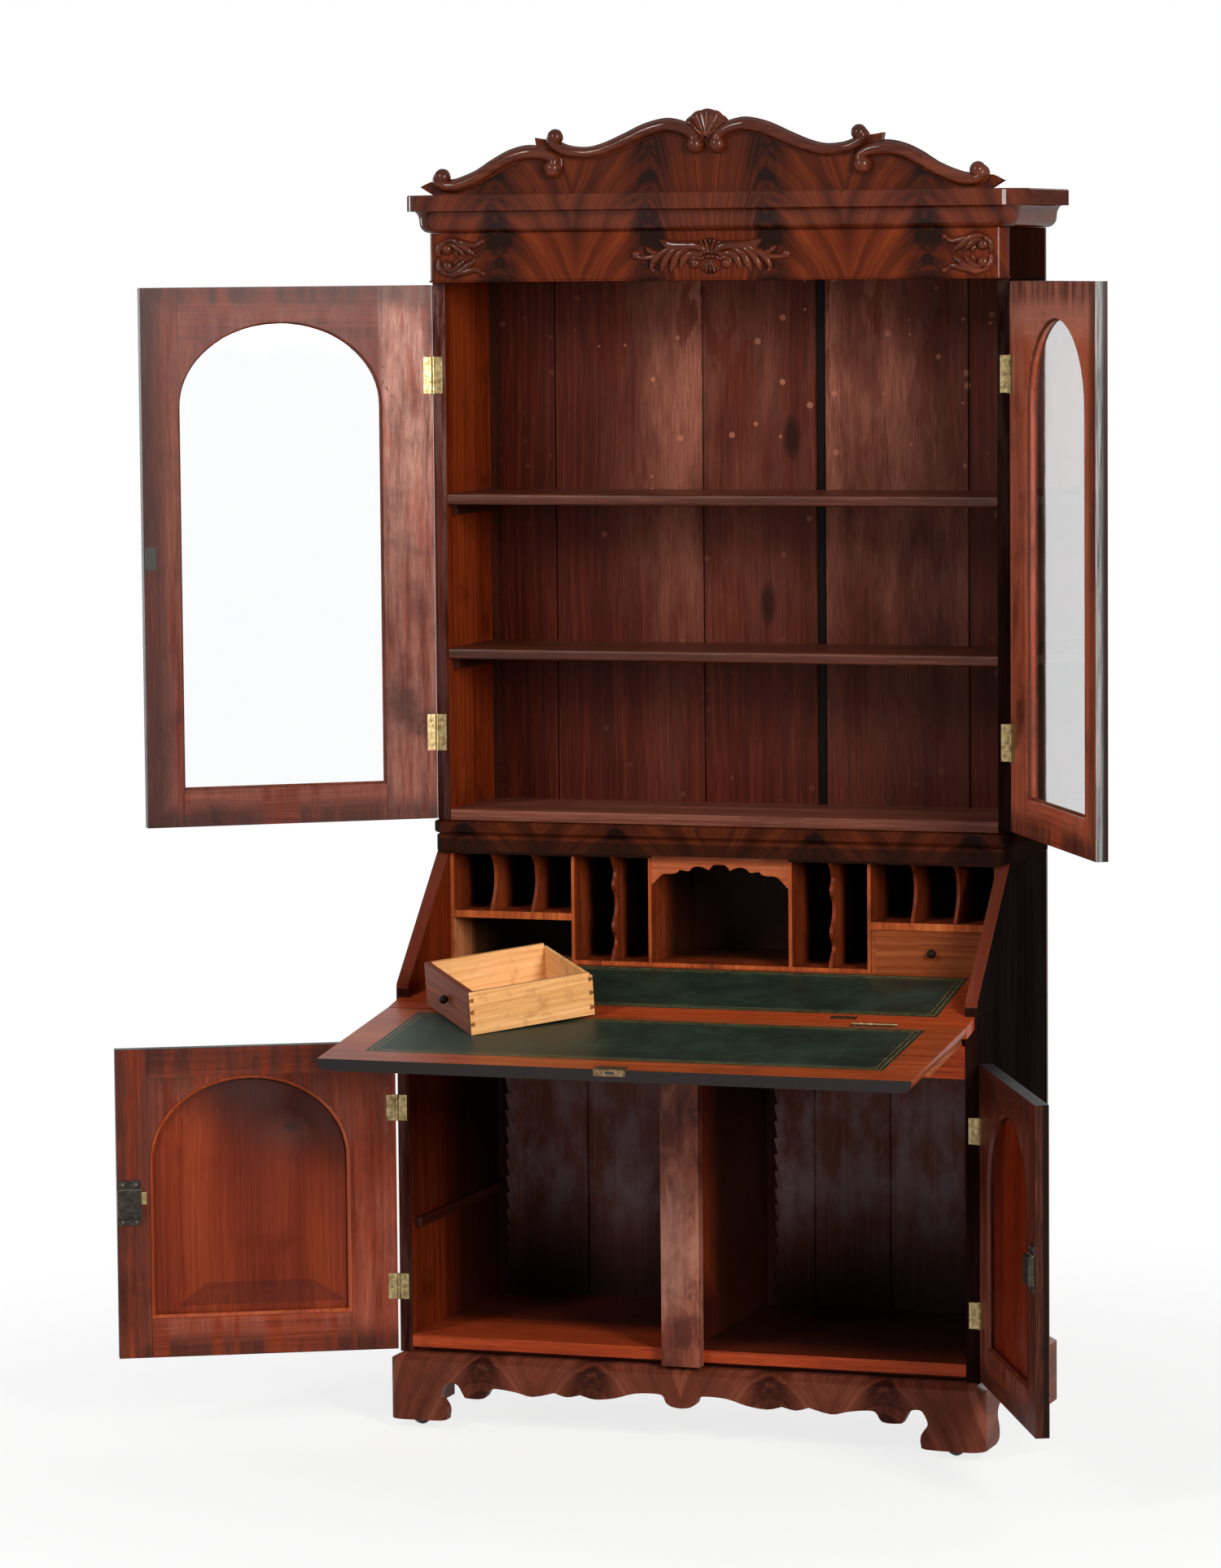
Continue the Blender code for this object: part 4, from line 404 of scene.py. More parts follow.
def leather(name, front, rear, half=0.4505, start=0.007):
    """Green hide with two gilt lines round its edge, the outer one as far in as start. Front and rear
    are places along y."""
    graph = Graph(name)
    x, y, z = graph.axes((CASE_X, CASE_Y, 0))
    grain = graph.add("TexVoronoi", {"Vector": graph.vector(x, y, z), "Scale": 520.0}).outputs["Distance"]
    cloud = graph.noise((x, y, z), 9.0, 6, 0.7)
    scuffs_and_sheen = graph.noise((x * 30.0, y * 320.0, z), 1.0, 4, 0.7)
    tone = (scuffs_and_sheen - 0.5) * 0.55 + cloud
    colour = graph.ramp(tone, ((0.22, (14, 20, 16)), (0.5, (24, 38, 29)), (0.8, (42, 58, 46))))
    edge = least(half - abs(x), y - front, rear - y)
    gilt = joined(*(abs(edge - inset).span(width, width * 0.6)
                    for inset, width in ((start, 0.0011), (start + 0.0085, 0.0008))))
    rubbed_and_sheen = graph.noise((x, y, z), 60.0, 3, 0.7).span(0.3, 0.55)
    gilt = gilt * rubbed_and_sheen
    colour = graph.mix(gilt * 0.85, colour, (150, 126, 70))
    normal = graph.bump(grain, 0.25, 0.0004)
    return graph.finish(colour, cloud * 0.25 + 0.36, normal, Specular_IOR_Level=0.22)


def glass(name):
    """Old window glass, clear with a slight waviness."""
    graph = Graph(name)
    x, y, z = graph.axes()
    waves = graph.noise((x, y, z), 9.0, 2)
    normal = graph.bump(waves, 0.08, 0.002)
    graph.finish(graph.mix(waves, (0.955, 0.968, 0.975, 1), (0.97, 0.98, 0.985, 1)), 0.02, normal,
                 Transmission_Weight=1.0)
    graph.shader.inputs["IOR"].default_value = 1.45
    return graph.material


def plain(name, colour, roughness, scale=300.0):
    """A painted or moulded surface with a fine unevenness."""
    graph = Graph(name)
    x, y, z = graph.axes()
    value = graph.noise((x, y, z), scale, 3)
    tone = graph.ramp(value, ((0.3, darker(colour, 0.6)), (0.7, colour)))
    return graph.finish(tone, roughness, graph.bump(value, 0.2, 0.0003))


def dress(material, *names):
    """Give CAD nodes a material."""
    for name in names:
        data = NODES[name].data
        data.materials.clear()
        data.materials.append(material)


def soften(radius, *names):
    """Rounded edges on CAD nodes, as wear leaves them."""
    for name in names:
        bevel = NODES[name].modifiers.new("worn_edges", "BEVEL")
        bevel.width = radius
        bevel.segments = 3
        bevel.limit_method = "ANGLE"
        bevel.angle_limit = radians(55)
        bevel.harden_normals = True


# Hinge line and heading of each open door
UPPER_LEFT = (case_point(-0.5202, -0.2483, 0), radians(-145.2))
UPPER_RIGHT = (case_point(0.5202, -0.2483, 0), radians(180 + 120.2))
LOWER_LEFT = (case_point(-0.5213, -0.4653, 0), radians(-152.4))
LOWER_RIGHT = (case_point(0.5213, -0.4653, 0), radians(180 + 115.8))
# Where a door's stiles end along its width and its rails in height, and an arch's height and rise
UPPER_STILES, UPPER_RAILS, UPPER_SPRING, UPPER_RISE = (0.0912, 0.4544), (1.104, 1.884), 1.768, 0.146
LOWER_STILES, LOWER_RAILS = (0.0825, 0.4293), (0.2031, 0.622)
DOORS = (("upper", "left", UPPER_LEFT), ("upper", "right", UPPER_RIGHT), ("lower", "left", LOWER_LEFT),
         ("lower", "right", LOWER_RIGHT))


# The small drawers' size, the slot of the right one, and where the left one lies loose
DRAWER_WIDTH, DRAWER_LENGTH, DRAWER_HEIGHT = 0.2176, 0.224, 0.0749
SLOT_SIDES, SLOT_FRONT, SLOT_FLOOR = (0.272, 0.4912), -0.2515, 0.7908
LOOSE_X, LOOSE_Y, LOOSE_HEADING = -0.288, -0.526, radians(-49.8)


def drawer_matrix(side):
    """A small drawer's own frame: middle of its floor, x across and y to its back."""
    if side == "right":
        return Matrix.Translation(case_point(sum(SLOT_SIDES) / 2, SLOT_FRONT + DRAWER_LENGTH / 2, SLOT_FLOOR))
    reach = (abs(sin(LOOSE_HEADING)) * DRAWER_WIDTH + cos(LOOSE_HEADING) * DRAWER_LENGTH) / 2
    low_y, high_y = LOOSE_Y - reach, LOOSE_Y + reach
    low_z = HINGE_HEIGHT + (low_y + HINGE_DEPTH) * tan(FALL_SLOPE)
    high_z = HINGE_HEIGHT + (high_y + HINGE_DEPTH) * tan(BED_SLOPE)
    pitch = atan2(high_z - low_z, high_y - low_y)
    place = case_point(LOOSE_X, LOOSE_Y, (low_z + high_z) / 2 + 0.0006)
    return Matrix.Translation(place) @ Matrix.Rotation(pitch, 4, "X") @ Matrix.Rotation(LOOSE_HEADING, 4, "Z")


def door_wood(name, frame_of, size, stiles, rails, tones, seed, gloss=0.42, coat=0.06, shine=0.24,
              stile_sheen=0.0, dirt=0.7, edge_sheen=0.0, grimy=0.055, pale_top=0.0, edge_brown=0.0):
    """A framed door: upright grain in the stiles, level grain in the rails, blackened edges, veneer in front.
    size is its width, foot, top and thickness."""
    graph = Graph(name)
    place, heading = frame_of
    width, foot, top, thick = size
    u, v, w = graph.axes(place, (0, 0, heading))
    depth = abs(v)
    upright, fine_up = wood_tone(graph, w, u, v, seed, 0.7)
    level, _ = wood_tone(graph, u, w, v, seed + 3.0, 0.7)
    beyond = joined(w < rails[0], w > rails[1])
    rail = u.within(*stiles) * beyond
    tone = level * rail + upright * (1.0 - rail)
    colour = grain_colour(graph, tone, tones)
    runs = graph.noise((u * 34.0, v, w * 3.4), 1.0, 5, 0.66)
    rubs_and_sheen = graph.noise((u * 620.0, v, w * 24.0), 1.0, 4, 0.75)
    # Painted sheen: pale pinkish streaks on the inner face, strongest high up the hinge stile and along the
    # top rail where a door has it, broken on the stile by red patches.
    sheen = runs.span(0.34, 0.6) * rubs_and_sheen.span(0.36, 0.62, 0.45, 1.0)
    pale = u.span(stiles[0] * 1.15, stiles[0] * 0.95) * w.span(top - 0.55, top - 0.2, 0.3, 1.0)
    sheen = sheen * (pale * stile_sheen + 0.14)
    if pale_top:
        sheen = joined(sheen, w.span(top - 0.125, top - 0.06, 0.0, pale_top)
                       * rubs_and_sheen.span(0.3, 0.66, 0.25, 1.0))
    colour = graph.mix(sheen, colour, (200, 146, 130))
    red = graph.noise((u * 48.0, v, w * 8.0), 1.0, 5, 0.7)
    red = red.span(0.47, 0.6, 0.0, 0.8) * (pale * stile_sheen)
    colour = graph.mix(red, colour, (140, 62, 44))
    colour = worn(graph, colour, dirt, (32, 10, 6), u, v, w, 7.0, 0.48, 0.7)
    above_foot = (w - foot) * (grimy / 0.055)
    rim = least(width - u, above_foot, top - w)
    grime = rim.span(grimy, grimy * 0.25) * runs.span(0.28, 0.6)
    colour = graph.mix(grime * 0.75, colour, (26, 9, 7))
    seam = least(*(abs(u - at) for at in stiles))
    line = seam.span(0.0009, 0.0003) * beyond
    colour = graph.mix(line * 0.8, colour, (20, 7, 4))
    front_tone, _ = flame_tone(graph, abs(u - width / 2), v, w, (0.0, width / 2), 6.0)
    colour = graph.mix(depth > thick - SKIN, colour, grain_colour(graph, front_tone, FLAME))
    closing = u > width - SKIN
    black = joined(closing, w > top - SKIN, w < foot + SKIN)
    colour = graph.mix(black, colour, grain_colour(graph, upright, EBONISED))
    if edge_brown:
        inner_part = closing * depth.span(thick * 0.62, thick * 0.5, 0.0, edge_brown)
        colour = graph.mix(inner_part, colour, grain_colour(graph, fine_up,
                                                            ((22, 9, 7), (58, 26, 17), (88, 46, 31))))
    bead = closing * (depth > thick - SKIN)
    colour = graph.mix(bead, colour, (168, 84, 38))
    # Painted reflection: a pale grey streaky band on the inner part of the closing edge.
    scuffs_and_sheen = graph.noise((v * 420.0, u, w * 9.0), 1.0, 5, 0.7)
    rubbed_and_sheen = depth.span(edge_sheen, edge_sheen * 0.4) * scuffs_and_sheen.span(0.3, 0.68, 0.1, 1.0)
    colour = graph.mix(closing * rubbed_and_sheen, colour, (150, 148, 146))
    height = fine_up + rubs_and_sheen * 0.8
    roughness = runs * 0.25 + (gloss - 0.12)
    return graph.finish(colour, roughness, graph.bump(height, 0.3, 0.0008), Coat_Weight=coat,
                        Coat_Roughness=0.16, Specular_IOR_Level=shine)


# Where the desk sides' slant starts, and where their front edges are no longer black
SLANT_FOOT, BLACK_TOP = 0.772, 0.765


def side_wood(name, front, slant=False):
    """An upright side: red-brown inside with painted shade in the cupboard, blackened outside, dark veneer
    with a painted sheen on its front edge.
    """
    graph = Graph(name)
    x, y, z = graph.axes((CASE_X, CASE_Y, 0))
    inner, fine = wood_tone(graph, z, y, x, 1.0, 0.7)
    colour = grain_colour(graph, inner, ((52, 15, 5), (94, 32, 11), (128, 52, 22)))
    colour = worn(graph, colour, 0.6, (36, 11, 5), x, y, z, 6.0)
    # Painted shade in the cupboard: darker above the cleat's line and towards the rear.
    colour = graph.mix(z.span(0.34, 0.365, 0.0, 0.38) * (z < 0.7), colour, (34, 11, 7))
    colour = graph.mix(y.span(-0.34, -0.2, 0.0, 0.85) * (z < 0.7), colour, (24, 9, 6))
    edge = y < front + 0.0004
    if slant:
        rise = (z - SLANT_FOOT) * cos(SIDE_SLANT)
        run = (y + LOWER_DEPTH) * sin(SIDE_SLANT)
        edge = joined(edge, rise - run > -0.0006)
    strip, _ = wood_tone(graph, z, x, y, 8.0, 1.0)
    # Painted sheen: a pale grey-brown haze on the front edges, stronger higher up.
    painted_sheen = graph.noise((x * 60.0, y, z * 6.0), 1.0, 4, 0.65)
    bare_and_sheen = painted_sheen.span(0.4, 0.64) * z.span(1.35, 1.95, 0.15, 0.85)
    strip = graph.mix(bare_and_sheen, grain_colour(graph, strip, EDGE_BROWN), (118, 88, 80))
    black_edge = (x > 0.0) * 0.8
    if slant:
        black_edge = black_edge * (z < BLACK_TOP)
        strip = graph.mix((z > BLACK_TOP) * 0.55, strip, (116, 52, 34))
    strip = graph.mix(black_edge, strip, (13, 7, 6))
    colour = graph.mix(edge, colour, strip)
    outer = abs(x) > CASE_HALF - SKIN
    colour = graph.mix(outer, colour, grain_colour(graph, inner, EBONISED))
    veneer = outer * (z > FRIEZE_BOTTOM)
    colour = graph.mix(veneer, colour, grain_colour(graph, inner, ((14, 6, 4), (36, 14, 8), (58, 25, 14))))
    return graph.finish(colour, fine * 0.25 + 0.4, graph.bump(fine, 0.35, 0.0006), Specular_IOR_Level=0.0)


def back_wood(name, low_tones):
    """Stained back boards: varnish worn to bare wood above, with drips, pale spots and knots, and painted
    shadow, sheen and light.
    """
    graph = Graph(name)
    x, y, z = graph.axes((CASE_X, CASE_Y, 0))
    side, away = x, 1.0
    for knot_x, knot_z in KNOTS:
        gap_x = x - knot_x
        gap_z = z - knot_z
        apart = (gap_x * gap_x + gap_z * gap_z * 0.16).math("SQRT")
        pull = gap_x * 0.0007 / (apart * apart + 0.0004)
        side = side - pull * 0.03
        away = least(apart, away)
    tone, fine = wood_tone(graph, z, side, y, 2.0, 0.35, 1.1)
    rings = (away * 1500.0).math("SINE")
    near = away.span(0.02, 0.006)
    tone = tone - near * (rings * 0.12 + 0.2)
    colour = grain_colour(graph, tone, BOARDS)
    scratch = graph.noise((side * 420.0, y, z * 16.0), 1.0, 4, 0.7)
    broad = graph.noise((x * 10.0, y, z * 2.4), 1.0, 4, 0.6)
    bare_and_sheen = broad.span(0.36, 0.62, 0.22, 1.0) * scratch.span(0.34, 0.64, 0.45, 1.0)
    # Pale bare wood, partly painted light: its share changes board by board and grows upwards with wear and
    # with the light, falls off to the left in a painted shadow of the side, and its pale tint is partly a
    # painted sheen.
    wear_and_light = x.span(-0.335, -0.12, 0.04, 0.85)
    for edge, level in ((BOARD_EDGES[1], 0.34), (BOARD_EDGES[3], 0.95), (BOARD_EDGES[4], 0.25)):
        wear_and_light = wear_and_light * (x < edge) + (x > edge) * level
    wear_and_light = wear_and_light * z.span(1.0, 1.8, 0.12, 0.95)
    bare_and_sheen = bare_and_sheen * wear_and_light
    colour = graph.mix(bare_and_sheen, colour, (156, 96, 78))
    varnish = graph.noise((x * 13.0, y, z * 3.2), 1.0, 6, 0.6, 0.5)
    drips = varnish.span(0.535, 0.565)
    drips = drips * z.span(1.66, 1.86, 0.22, 0.62)
    colour = graph.mix(drips, colour, grain_colour(graph, tone, ((48, 13, 6), (76, 24, 11), (100, 40, 21))))
    cells = graph.add("TexVoronoi", {"Vector": graph.vector(x, z, 0.0), "Scale": 21.0},
                      voronoi_dimensions="2D").outputs
    chance = Value(graph, graph.add("SeparateColor", {"Color": cells["Color"]}).outputs[0])
    size = chance.span(0.66, 1.0, 0.0, 0.12)
    spots = (size > cells["Distance"]) * z.span(1.4, 1.75, 0.06, 0.42)
    # Pale spots, fainter to the left in the painted shadow of the side.
    colour = graph.mix(spots * x.span(-0.34, -0.28, 0.15, 1.0), colour, (188, 122, 96))
    colour = graph.mix(near * 0.75, colour, (30, 9, 5))
    colour = graph.mix(x.within(BOARD_EDGES[2], BOARD_EDGES[3]), colour, (9, 4, 3))
    inside = y < -0.004
    low = grain_colour(graph, tone, low_tones)
    # Painted sheen: a grey-violet haze over the cupboard's back at middle height.
    painted_sheen = graph.noise((x * 14.0, y, z * 7.0), 1.0, 5, 0.62)
    painted_sheen = painted_sheen.span(0.4, 0.66) * (z.span(0.22, 0.34) * z.span(0.62, 0.5))
    low = graph.mix(painted_sheen * 0.62, low, (158, 142, 150))
    # Painted shade: the cupboard's back darkens towards its floor.
    low = graph.mix(z.span(0.42, 0.17, 0.0, 0.92), low, (18, 8, 6))
    colour = graph.mix(z < 0.79, colour, low)
    # Painted light: the back behind the pigeonholes is lighter than its deep shade would leave it.
    colour = graph.mix(inside * z.within(0.7895, 1.0), colour, (44, 20, 14))
    outside = joined(y > -0.002, abs(x) > 0.5192)
    colour = graph.mix(outside, colour, grain_colour(graph, tone,
                                                     ((50, 28, 18), (84, 52, 36), (116, 80, 58))))
    roughness = bare_and_sheen * 0.2 + 0.36
    return graph.finish(colour, roughness, graph.bump(scratch + fine, 0.35, 0.0007), Specular_IOR_Level=0.07)


def pigeonhole_wood(name):
    """Thin red-brown boards with pale, rubbed front edges, and painted shade deep inside and along the top.
    """
    graph = Graph(name)
    x, y, z = graph.axes((CASE_X, CASE_Y, 0))
    tone, fine = wood_tone(graph, z, y, x, 10.0, 0.6)
    colour = grain_colour(graph, tone, ((60, 21, 8), (108, 42, 17), (142, 66, 30)))
    rubbed_and_sheen = grain_colour(graph, tone, ((108, 44, 19), (164, 78, 36), (200, 112, 62)))
    bare_and_sheen = (z < 0.8765) * (abs(x) > 0.2725)
    colour = graph.mix(bare_and_sheen, colour, grain_colour(graph, tone,
                                                  ((120, 66, 34), (172, 108, 66), (200, 140, 94))))
    # Painted shade: darker deep inside the pigeonholes.
    colour = graph.mix(y.span(-0.205, -0.12, 0.0, 0.88), colour, (14, 6, 4))
    colour = graph.mix(y < -0.2515, colour, rubbed_and_sheen)
    # Painted shade: dark along the top, under the desk top.
    colour = graph.mix((z > 0.9788) * 0.9, colour, (20, 8, 5))
    colour = worn(graph, colour, 0.5, (26, 9, 5), x, y, z, 22.0)
    return graph.finish(colour, 0.46, graph.bump(fine, 0.3, 0.0006), Specular_IOR_Level=0.10)


def drawer_wood(name, matrix, front_tones):
    """A honey-coloured box with a mahogany front, a dark knob and painted shade on its inner faces."""
    graph = Graph(name)
    u, v, w = graph.axes(matrix.translation, matrix.to_euler())
    tone, fine = wood_tone(graph, u, w, v, 11.0, 0.7)
    ends, _ = wood_tone(graph, v, w, u, 15.0, 0.7)
    lengthwise = abs(u) > 0.101
    tone = ends * lengthwise + tone * (1.0 - lengthwise)
    colour = grain_colour(graph, tone, HONEY)
    # Painted shade: the box's inner faces in darker tones.
    shaded_inside = (abs(u) < 0.1012) * (v < 0.105)
    colour = graph.mix(shaded_inside, colour, grain_colour(graph, tone,
                                                        ((150, 88, 40), (196, 128, 68), (222, 160, 98))))
    colour = worn(graph, colour, 0.35, (150, 92, 46), u, v, w, 30.0)
    rim = w > 0.0743
    colour = graph.mix(rim * 0.45, colour, (120, 74, 40))
    board = (v < -0.0995) * (abs(u) < 0.1083)
    board = joined(board, v < -0.1112)
    colour = graph.mix(board, colour, grain_colour(graph, tone, front_tones))
    colour = graph.mix(v < -0.1126, colour, (34, 20, 13))
    return graph.finish(colour, fine * 0.2 + 0.4, graph.bump(fine, 0.3, 0.0006), Specular_IOR_Level=0.08)


def edged(front, underside, slope, place, tones):
    """Marks of a board whose front edge is blackened and whose outside is veneered."""
    def marks(graph, colour):
        across, run, lift = graph.axes(place, (slope, 0, 0))
        veneer, _ = flame_tone(graph, abs(across), lift, run, (0.15, 0.4), 6.0)
        colour = graph.mix(lift < underside, colour, grain_colour(graph, veneer, FLAME))
        return graph.mix(run < front, colour, tones)
    return marks


def shaded_cupboard_floor(graph, colour):
    """Painted shade on the cupboard's floor: darker right of the divider and in the rear."""
    x, y, _ = graph.axes((CASE_X, CASE_Y, 0))
    # Painted shade: the right bay, and the rear of both bays.
    painted_shade = (x > 0.0) * (y > -0.4645)
    painted_shade = painted_shade * y.span(-0.455, -0.34, 0.72, 0.96)
    painted_shade = joined(painted_shade, y.span(-0.35, -0.25, 0.0, 0.86))
    return graph.mix(painted_shade, colour, (22, 8, 6))


def shaded_divider(graph, colour):
    """Painted shade on the divider: darker towards its rear and its foot."""
    _, y, z = graph.axes((CASE_X, CASE_Y, 0))
    # Painted shade: darker towards the rear and the foot.
    depth = joined(y.span(-0.43, -0.29, 0.0, 0.93), z.span(0.36, 0.21, 0.0, 0.9))
    return graph.mix(depth, colour, (20, 8, 6))


def blotched(graph, colour):
    """Curly veneer: light and dark clouds, with a painted sheen across its middle height."""
    x, y, z = graph.axes((CASE_X, CASE_Y, 0))
    clouds = graph.noise((x, y, z * 0.45), 26.0, 5, 0.6, 0.4)
    colour = graph.mix(clouds.span(0.5, 0.74, 0.0, 0.5), colour, (176, 112, 90))
    colour = graph.mix(clouds.span(0.5, 0.34, 0.0, 0.72), colour, (56, 21, 14))
    # Painted sheen: a pale pinkish band over the middle height.
    painted_sheen = z.span(0.18, 0.28) * z.span(0.5, 0.38)
    return graph.mix(painted_sheen * clouds.span(0.34, 0.6, 0.08, 0.3), colour, (184, 136, 120))


def panelled(place, heading, knot):
    """A door's panel: veneer outside and, where one is named, a knot at a place along its width and height,
    with painted shade on its bottom bevel and a painted shadow under its arch."""
    def marks(graph, colour):
        u, v, w = graph.axes(place, (0, 0, heading))
        spread = abs(u - 0.255)
        veneer, _ = flame_tone(graph, spread, v, w, (0.0, 0.16), 6.0)
        outside = abs(v) > 0.012
        if not knot:
            return graph.mix(outside, colour, grain_colour(graph, veneer, FLAME))
        across = u - knot[0]
        up = (w - knot[1]) * 1.5
        away = (across * across + up * up).math("SQRT")
        ring = (away * 2600.0).math("SINE") * 0.25 + 0.7
        colour = graph.mix(away.span(0.018, 0.007) * ring, colour, (30, 10, 5))
        # Painted shade on the panel's bottom bevel.
        slope = w - 0.222
        bevel = joined(slope < 0.0, slope > 0.04, slope * 1.2 + u > 0.382, slope * -1.5 + u < 0.09)
        colour = graph.mix(bevel * -0.42 + 0.42, colour, (56, 20, 18))
        # Painted shadow under the arch.
        shade = (0.27 - u) * 0.35 + w
        colour = graph.mix(shade.span(0.47, 0.6, 0.0, 0.8), colour, (36, 12, 7))
        return graph.mix(outside, colour, grain_colour(graph, veneer, FLAME))
    return marks


def dress_nodes():
    """Materials for what the CAD already shapes."""
    tall = {"plumes": (0.105, 0.385), "level": 2.12, "steeper": 6.0}
    dress(flame("crest_flame", **tall), "crest_board")
    dress(wood("crest_moulding_wood", ((48, 18, 8), (84, 36, 17), (116, 57, 30)), "X", seed=12.0, gloss=0.3,
               coat=0.5, shine=0.0, coat_rough=0.05, grain_depth=0.12), "crest_moulding_left",
          "crest_moulding_right")
    dress(flame("cornice_flame", **tall, tones=((30, 11, 7), (78, 31, 16), (118, 53, 28)), coat=0.3,
                dull_beyond=0.545, dull_above=0.0086, shine=0.0), "cornice")
    dress(flame("frieze_flame", **tall, tones=((28, 10, 5), (78, 28, 10), (122, 52, 21)), shine=0.0),
          "frieze")
    dress(flame("waist_flame", (0.18, 0.46), level=0.98, sweep=6.0,
                tones=((24, 8, 4), (66, 25, 9), (112, 50, 20)), coat=0.08, shine=0.0, dull_beyond=0.503,
                end_dark=0.9, shade_below=0.0285), "desk_top")
    dress(flame("base_flame", (0.16, 0.36), level=0.02, tones=((48, 19, 13), (98, 48, 34), (136, 78, 58)),
                coat=0.03, shine=0.04, gloss=0.45, contrast=0.85), "bracket_base")
    dress(wood("stile_wood", ((70, 29, 20), (124, 64, 46), (160, 96, 76)), "Z", seed=16.0, figure=1.2,
               streak=0.45, coat=0.05, gloss=0.36, dirt=0.3, marks=blotched), "centre_stile")
    dress(side_wood("bookcase_side_wood", -UPPER_DEPTH), "bookcase_side_left", "bookcase_side_right")
    dress(side_wood("desk_side_wood", -LOWER_DEPTH, True), "desk_side_left", "desk_side_right")
    dress(back_wood("plain_back_wood", LIT_CUPBOARD_BACK), "bookcase_back", "desk_back")
    dress(wood("shelf_wood", ((34, 13, 7), (68, 29, 16), (102, 54, 35)), "X", seed=3.0, gloss=0.34,
               shine=0.22), "shelf_high", "shelf_low")
    dress(wood("bookcase_floor_wood", ((54, 24, 17), (100, 52, 38), (138, 84, 66)), "X", seed=13.0,
               shine=0.2), "bookcase_floor")
    dress(wood("rack_wood", ((24, 9, 5), (48, 18, 9), (78, 32, 16)), "Z", seed=4.0), "shelf_rack_left",
          "shelf_rack_right")
    dress(wood("cupboard_floor_wood", RED_MAHOGANY, "X", seed=5.0, marks=shaded_cupboard_floor), "cupboard_floor")
    dress(wood("rail_wood", RED_MAHOGANY, "X", seed=5.0), "loper_rail", "dust_board")
    dress(wood("divider_wood", RED_MAHOGANY, "Z", seed=6.0, marks=shaded_divider), "cupboard_divider")
    dress(wood("bed_wood", RED_MAHOGANY, "X", seed=7.0, coat=0.1), "writing_bed")
    fall_edge = edged(-0.3358, -0.0202, FALL_SLOPE, HINGE_POINT, (32, 27, 26))
    dress(wood("fall_wood", ((88, 32, 13), (140, 60, 28), (176, 92, 50)), "X", seed=8.0, coat=0.03,
               gloss=0.36, shine=0.16, marks=fall_edge), "fall_board")
    dress(wood("loper_wood", ((110, 52, 24), (164, 90, 48), (196, 126, 76)), "Y", seed=9.0), "loper_left",
          "loper_right")
    dress(pigeonhole_wood("pigeon_wood"), "pigeonhole_case")
    dress(drawer_wood("loose_drawer_wood", drawer_matrix("left"),
                      ((60, 24, 13), (106, 50, 30), (142, 78, 50))), "drawer_left")
    dress(drawer_wood("slot_drawer_wood", drawer_matrix("right"),
                      ((70, 28, 11), (124, 60, 29), (156, 86, 45))), "drawer_right")
    dress(leather("bed_leather", -0.4723, -0.2685), "writing_bed_leather")
    dress(leather("fall_leather_green", -0.7948, -0.5433), "fall_leather")
    # The right door's wood is the paler copy, painted light; the doors carry painted sheen on the hinge
    # stile, and the right one also on its top rail and closing edge.
    uppers = (("left", UPPER_LEFT, DOOR_BROWN, 20.0, 0.12, 0.74, 0.0, 0.0),
              ("right", UPPER_RIGHT, LIT_DOOR, 23.0, 0.08, 0.1, 0.0155, 0.62))
    for side, place, tones, seed, shine, stile_sheen, edge_sheen, pale_top in uppers:
        dress(door_wood(f"upper_door_wood_{side}", place, (0.5187, 1.04, 1.974, 0.021), UPPER_STILES,
                        UPPER_RAILS, tones, seed, shine=shine, stile_sheen=stile_sheen, edge_sheen=edge_sheen,
                        pale_top=pale_top), f"upper_door_frame_{side}")
    # The right door's wood is the darker copy, painted shade.
    lowers = (("left", LOWER_LEFT, RED_DOOR, 26.0, 0.07, 0.0),
              ("right", LOWER_RIGHT, SHADED_DOOR, 29.0, 0.03, 0.9))
    for side, place, tones, seed, shine, edge_brown in lowers:
        dress(door_wood(f"lower_door_wood_{side}", place, (0.4858, 0.1346, 0.6715, 0.023), LOWER_STILES,
                        LOWER_RAILS, tones, seed, shine=shine, dirt=0.45, grimy=0.1, edge_brown=edge_brown),
              f"lower_door_frame_{side}")
        dress(wood(f"lower_panel_wood_{side}", tones, "Z", place[0], (0, 0, place[1]), seed + 1),
              f"lower_door_panel_{side}")
    dress(glass("window_glass"), "upper_door_glass_left", "upper_door_glass_right")
    hinges = [f"{storey}_hinge_{side}_{position}" for storey, side, _ in DOORS
              for position in ("high", "low")]
    dress(BRASS, *hinges)
    dress(IRON, "rim_lock_left", "rim_lock_right")
    dress(DULL_BRASS, "fall_hinge_left", "fall_hinge_right")
    casters = [f"caster_{part}_{end}_{side}" for part in ("fork", "wheel")
               for end in ("front", "rear") for side in ("left", "right")]
    dress(plain("caster_black", (22, 21, 20), 0.4), *casters)
    soften(0.0012, "upper_door_frame_left", "upper_door_frame_right", "lower_door_frame_left",
           "lower_door_frame_right", "bookcase_floor", "writing_bed", "centre_stile")


# Shapes of the visual model's own pieces

def piece(name, shape, material, body, smooth=False, frame_of=None, replaced=()):
    """A mesh that rides on a body. Points are in case coordinates or in a frame of their own."""
    matrix = frame_of or Matrix.Translation((CASE_X, CASE_Y, 0))
    mesh = bpy.data.meshes.new(name)
    mesh.from_pydata([matrix @ Vector(vert) for vert in shape.verts], [], shape.faces)
    bm = bmesh.new()
    bm.from_mesh(mesh)
    bmesh.ops.recalc_face_normals(bm, faces=bm.faces)
    bm.to_mesh(mesh)
    bm.free()
    mesh.materials.append(material)
    if smooth:
        mesh.shade_smooth()
        mesh.set_sharp_from_angle(angle=radians(50))
    obj = linked(name, mesh)
    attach(obj, body)
    if replaced:
        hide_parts(*replaced)
    return obj


